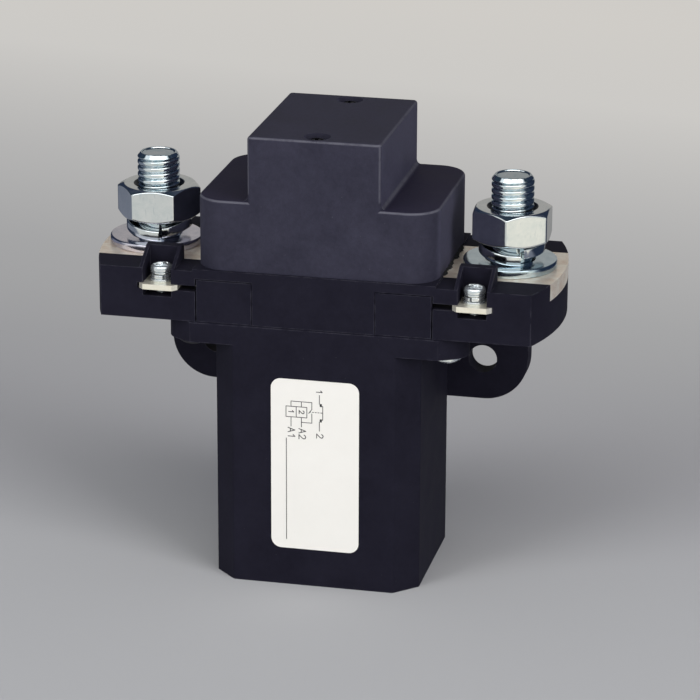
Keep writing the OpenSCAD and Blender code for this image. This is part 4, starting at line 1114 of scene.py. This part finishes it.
# the two springs inside; each lists how far it shortens as the armature slides down, which is not used here
springs = {
    "contactSpring": {"node": "contact_spring", "body": "bridge", "wire": 1.6, "turns": 4, "shortens": 1.5},
    "returnSpring": {"node": "return_spring", "body": "housing", "wire": 0.8, "turns": 8, "shortens": 4.0},
}
springWire = {"sides": 12, "rowsPerTurn": 40, "flatTurns": 0.5}


def woundSpring(name, spring):
    low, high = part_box(spring["node"])
    wire, turns = spring["wire"] / 2, spring["turns"]
    length = (high.z - low.z) / mm
    radius = (high.x - low.x) / 2 / mm - wire
    level = springWire["flatTurns"] / turns
    count = turns * springWire["rowsPerTurn"]
    rows = []
    for i in range(count + 1):
        share = i / count
        # the end turns lie nearly flat, and the rest climb evenly
        climb = min(1.0, max(0.0, (share - level) / (1 - 2 * level)))
        middle = low.z / mm + wire + (length - 2 * wire) * climb
        turn = 2 * math.pi * turns * share
        across, along = math.cos(turn), math.sin(turn)
        rows.append([((radius + wire * out) * across, (radius + wire * out) * along, middle + wire * up)
                     for out, up in circleWays(springWire["sides"])])
    shape = Shape()
    shape.rows(rows, capFirst=True, capLast=True)
    piece = meshPiece(name, shape, springSteel, spring["body"], 60)
    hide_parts(spring["node"])
    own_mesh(piece)


for name, spring in springs.items():
    woundSpring(name, spring)
print("springs wound")

# finishes of the nodes that come straight from the CAD
finishes = {
    blackMoulding: ("coil_housing", "terminal_base", "spring_seat", "lead_cover_left", "lead_cover_right"),
    coverMoulding: ("arc_cover",),
    labelFilm: ("rating_label",),
    creamMoulding: ("bridge_insulator", "coil_bobbin"),
    insulatingTape: ("coil_wrap",),
    wireInsulation: ("coil_lead_left", "coil_lead_right"),
    blackRubber: ("stop_washer",),
    flangeZinc: ("flange_screws",),
    tinnedCopper: ("fixed_contact_left", "fixed_contact_right"),
    tinnedBrass: ("coil_tab_left", "coil_tab_right"),
    bareCopper: ("moving_bridge",),
    silverAlloy: ("fixed_tip_left", "fixed_tip_right", "moving_tip_left", "moving_tip_right"),
    turnedBrass: ("rod_bush", "guide_sleeve"),
    enamelledCopper: ("coil_winding",),
    springSteel: ("rod_clip",),
    platedSteel: ("armature_plunger", "armature_rod", "spring_retainer", "magnet_frame", "top_plate", "fixed_core"),
    blackenedSteel: ("cover_screws",),
}
for material, names in finishes.items():
    for name in names:
        data = nodes[name].data
        data.materials.clear()
        data.materials.append(material)

# widths of the rounded edges, and the angles that they work with
softEdges = {
    "coil_housing": 0.22, "terminal_base": 0.18, "arc_cover": 0.2, "rating_label": 0.03,
    "lead_cover_left": 0.12, "lead_cover_right": 0.12, "fixed_contact_left": 0.35, "fixed_contact_right": 0.35,
    "coil_tab_left": 0.12, "coil_tab_right": 0.12, "flange_screws": 0.15, "cover_screws": 0.12,
}
edgeAngles = {"shading": 30, "flat": 0.5, "rounded": 40}
for name, node in nodes.items():
    smoothed(node.data, edgeAngles["shading"])
    if name in softEdges:
        flat = node.modifiers.new("mergeFlat", "DECIMATE")
        flat.decimate_type = "DISSOLVE"
        flat.angle_limit = math.radians(edgeAngles["flat"])
        soft = node.modifiers.new("softEdge", "BEVEL")
        soft.width = softEdges[name] * mm
        soft.segments = 2
        soft.limit_method = "ANGLE"
        soft.angle_limit = math.radians(edgeAngles["rounded"])
        soft.harden_normals = True
print("finishes set")
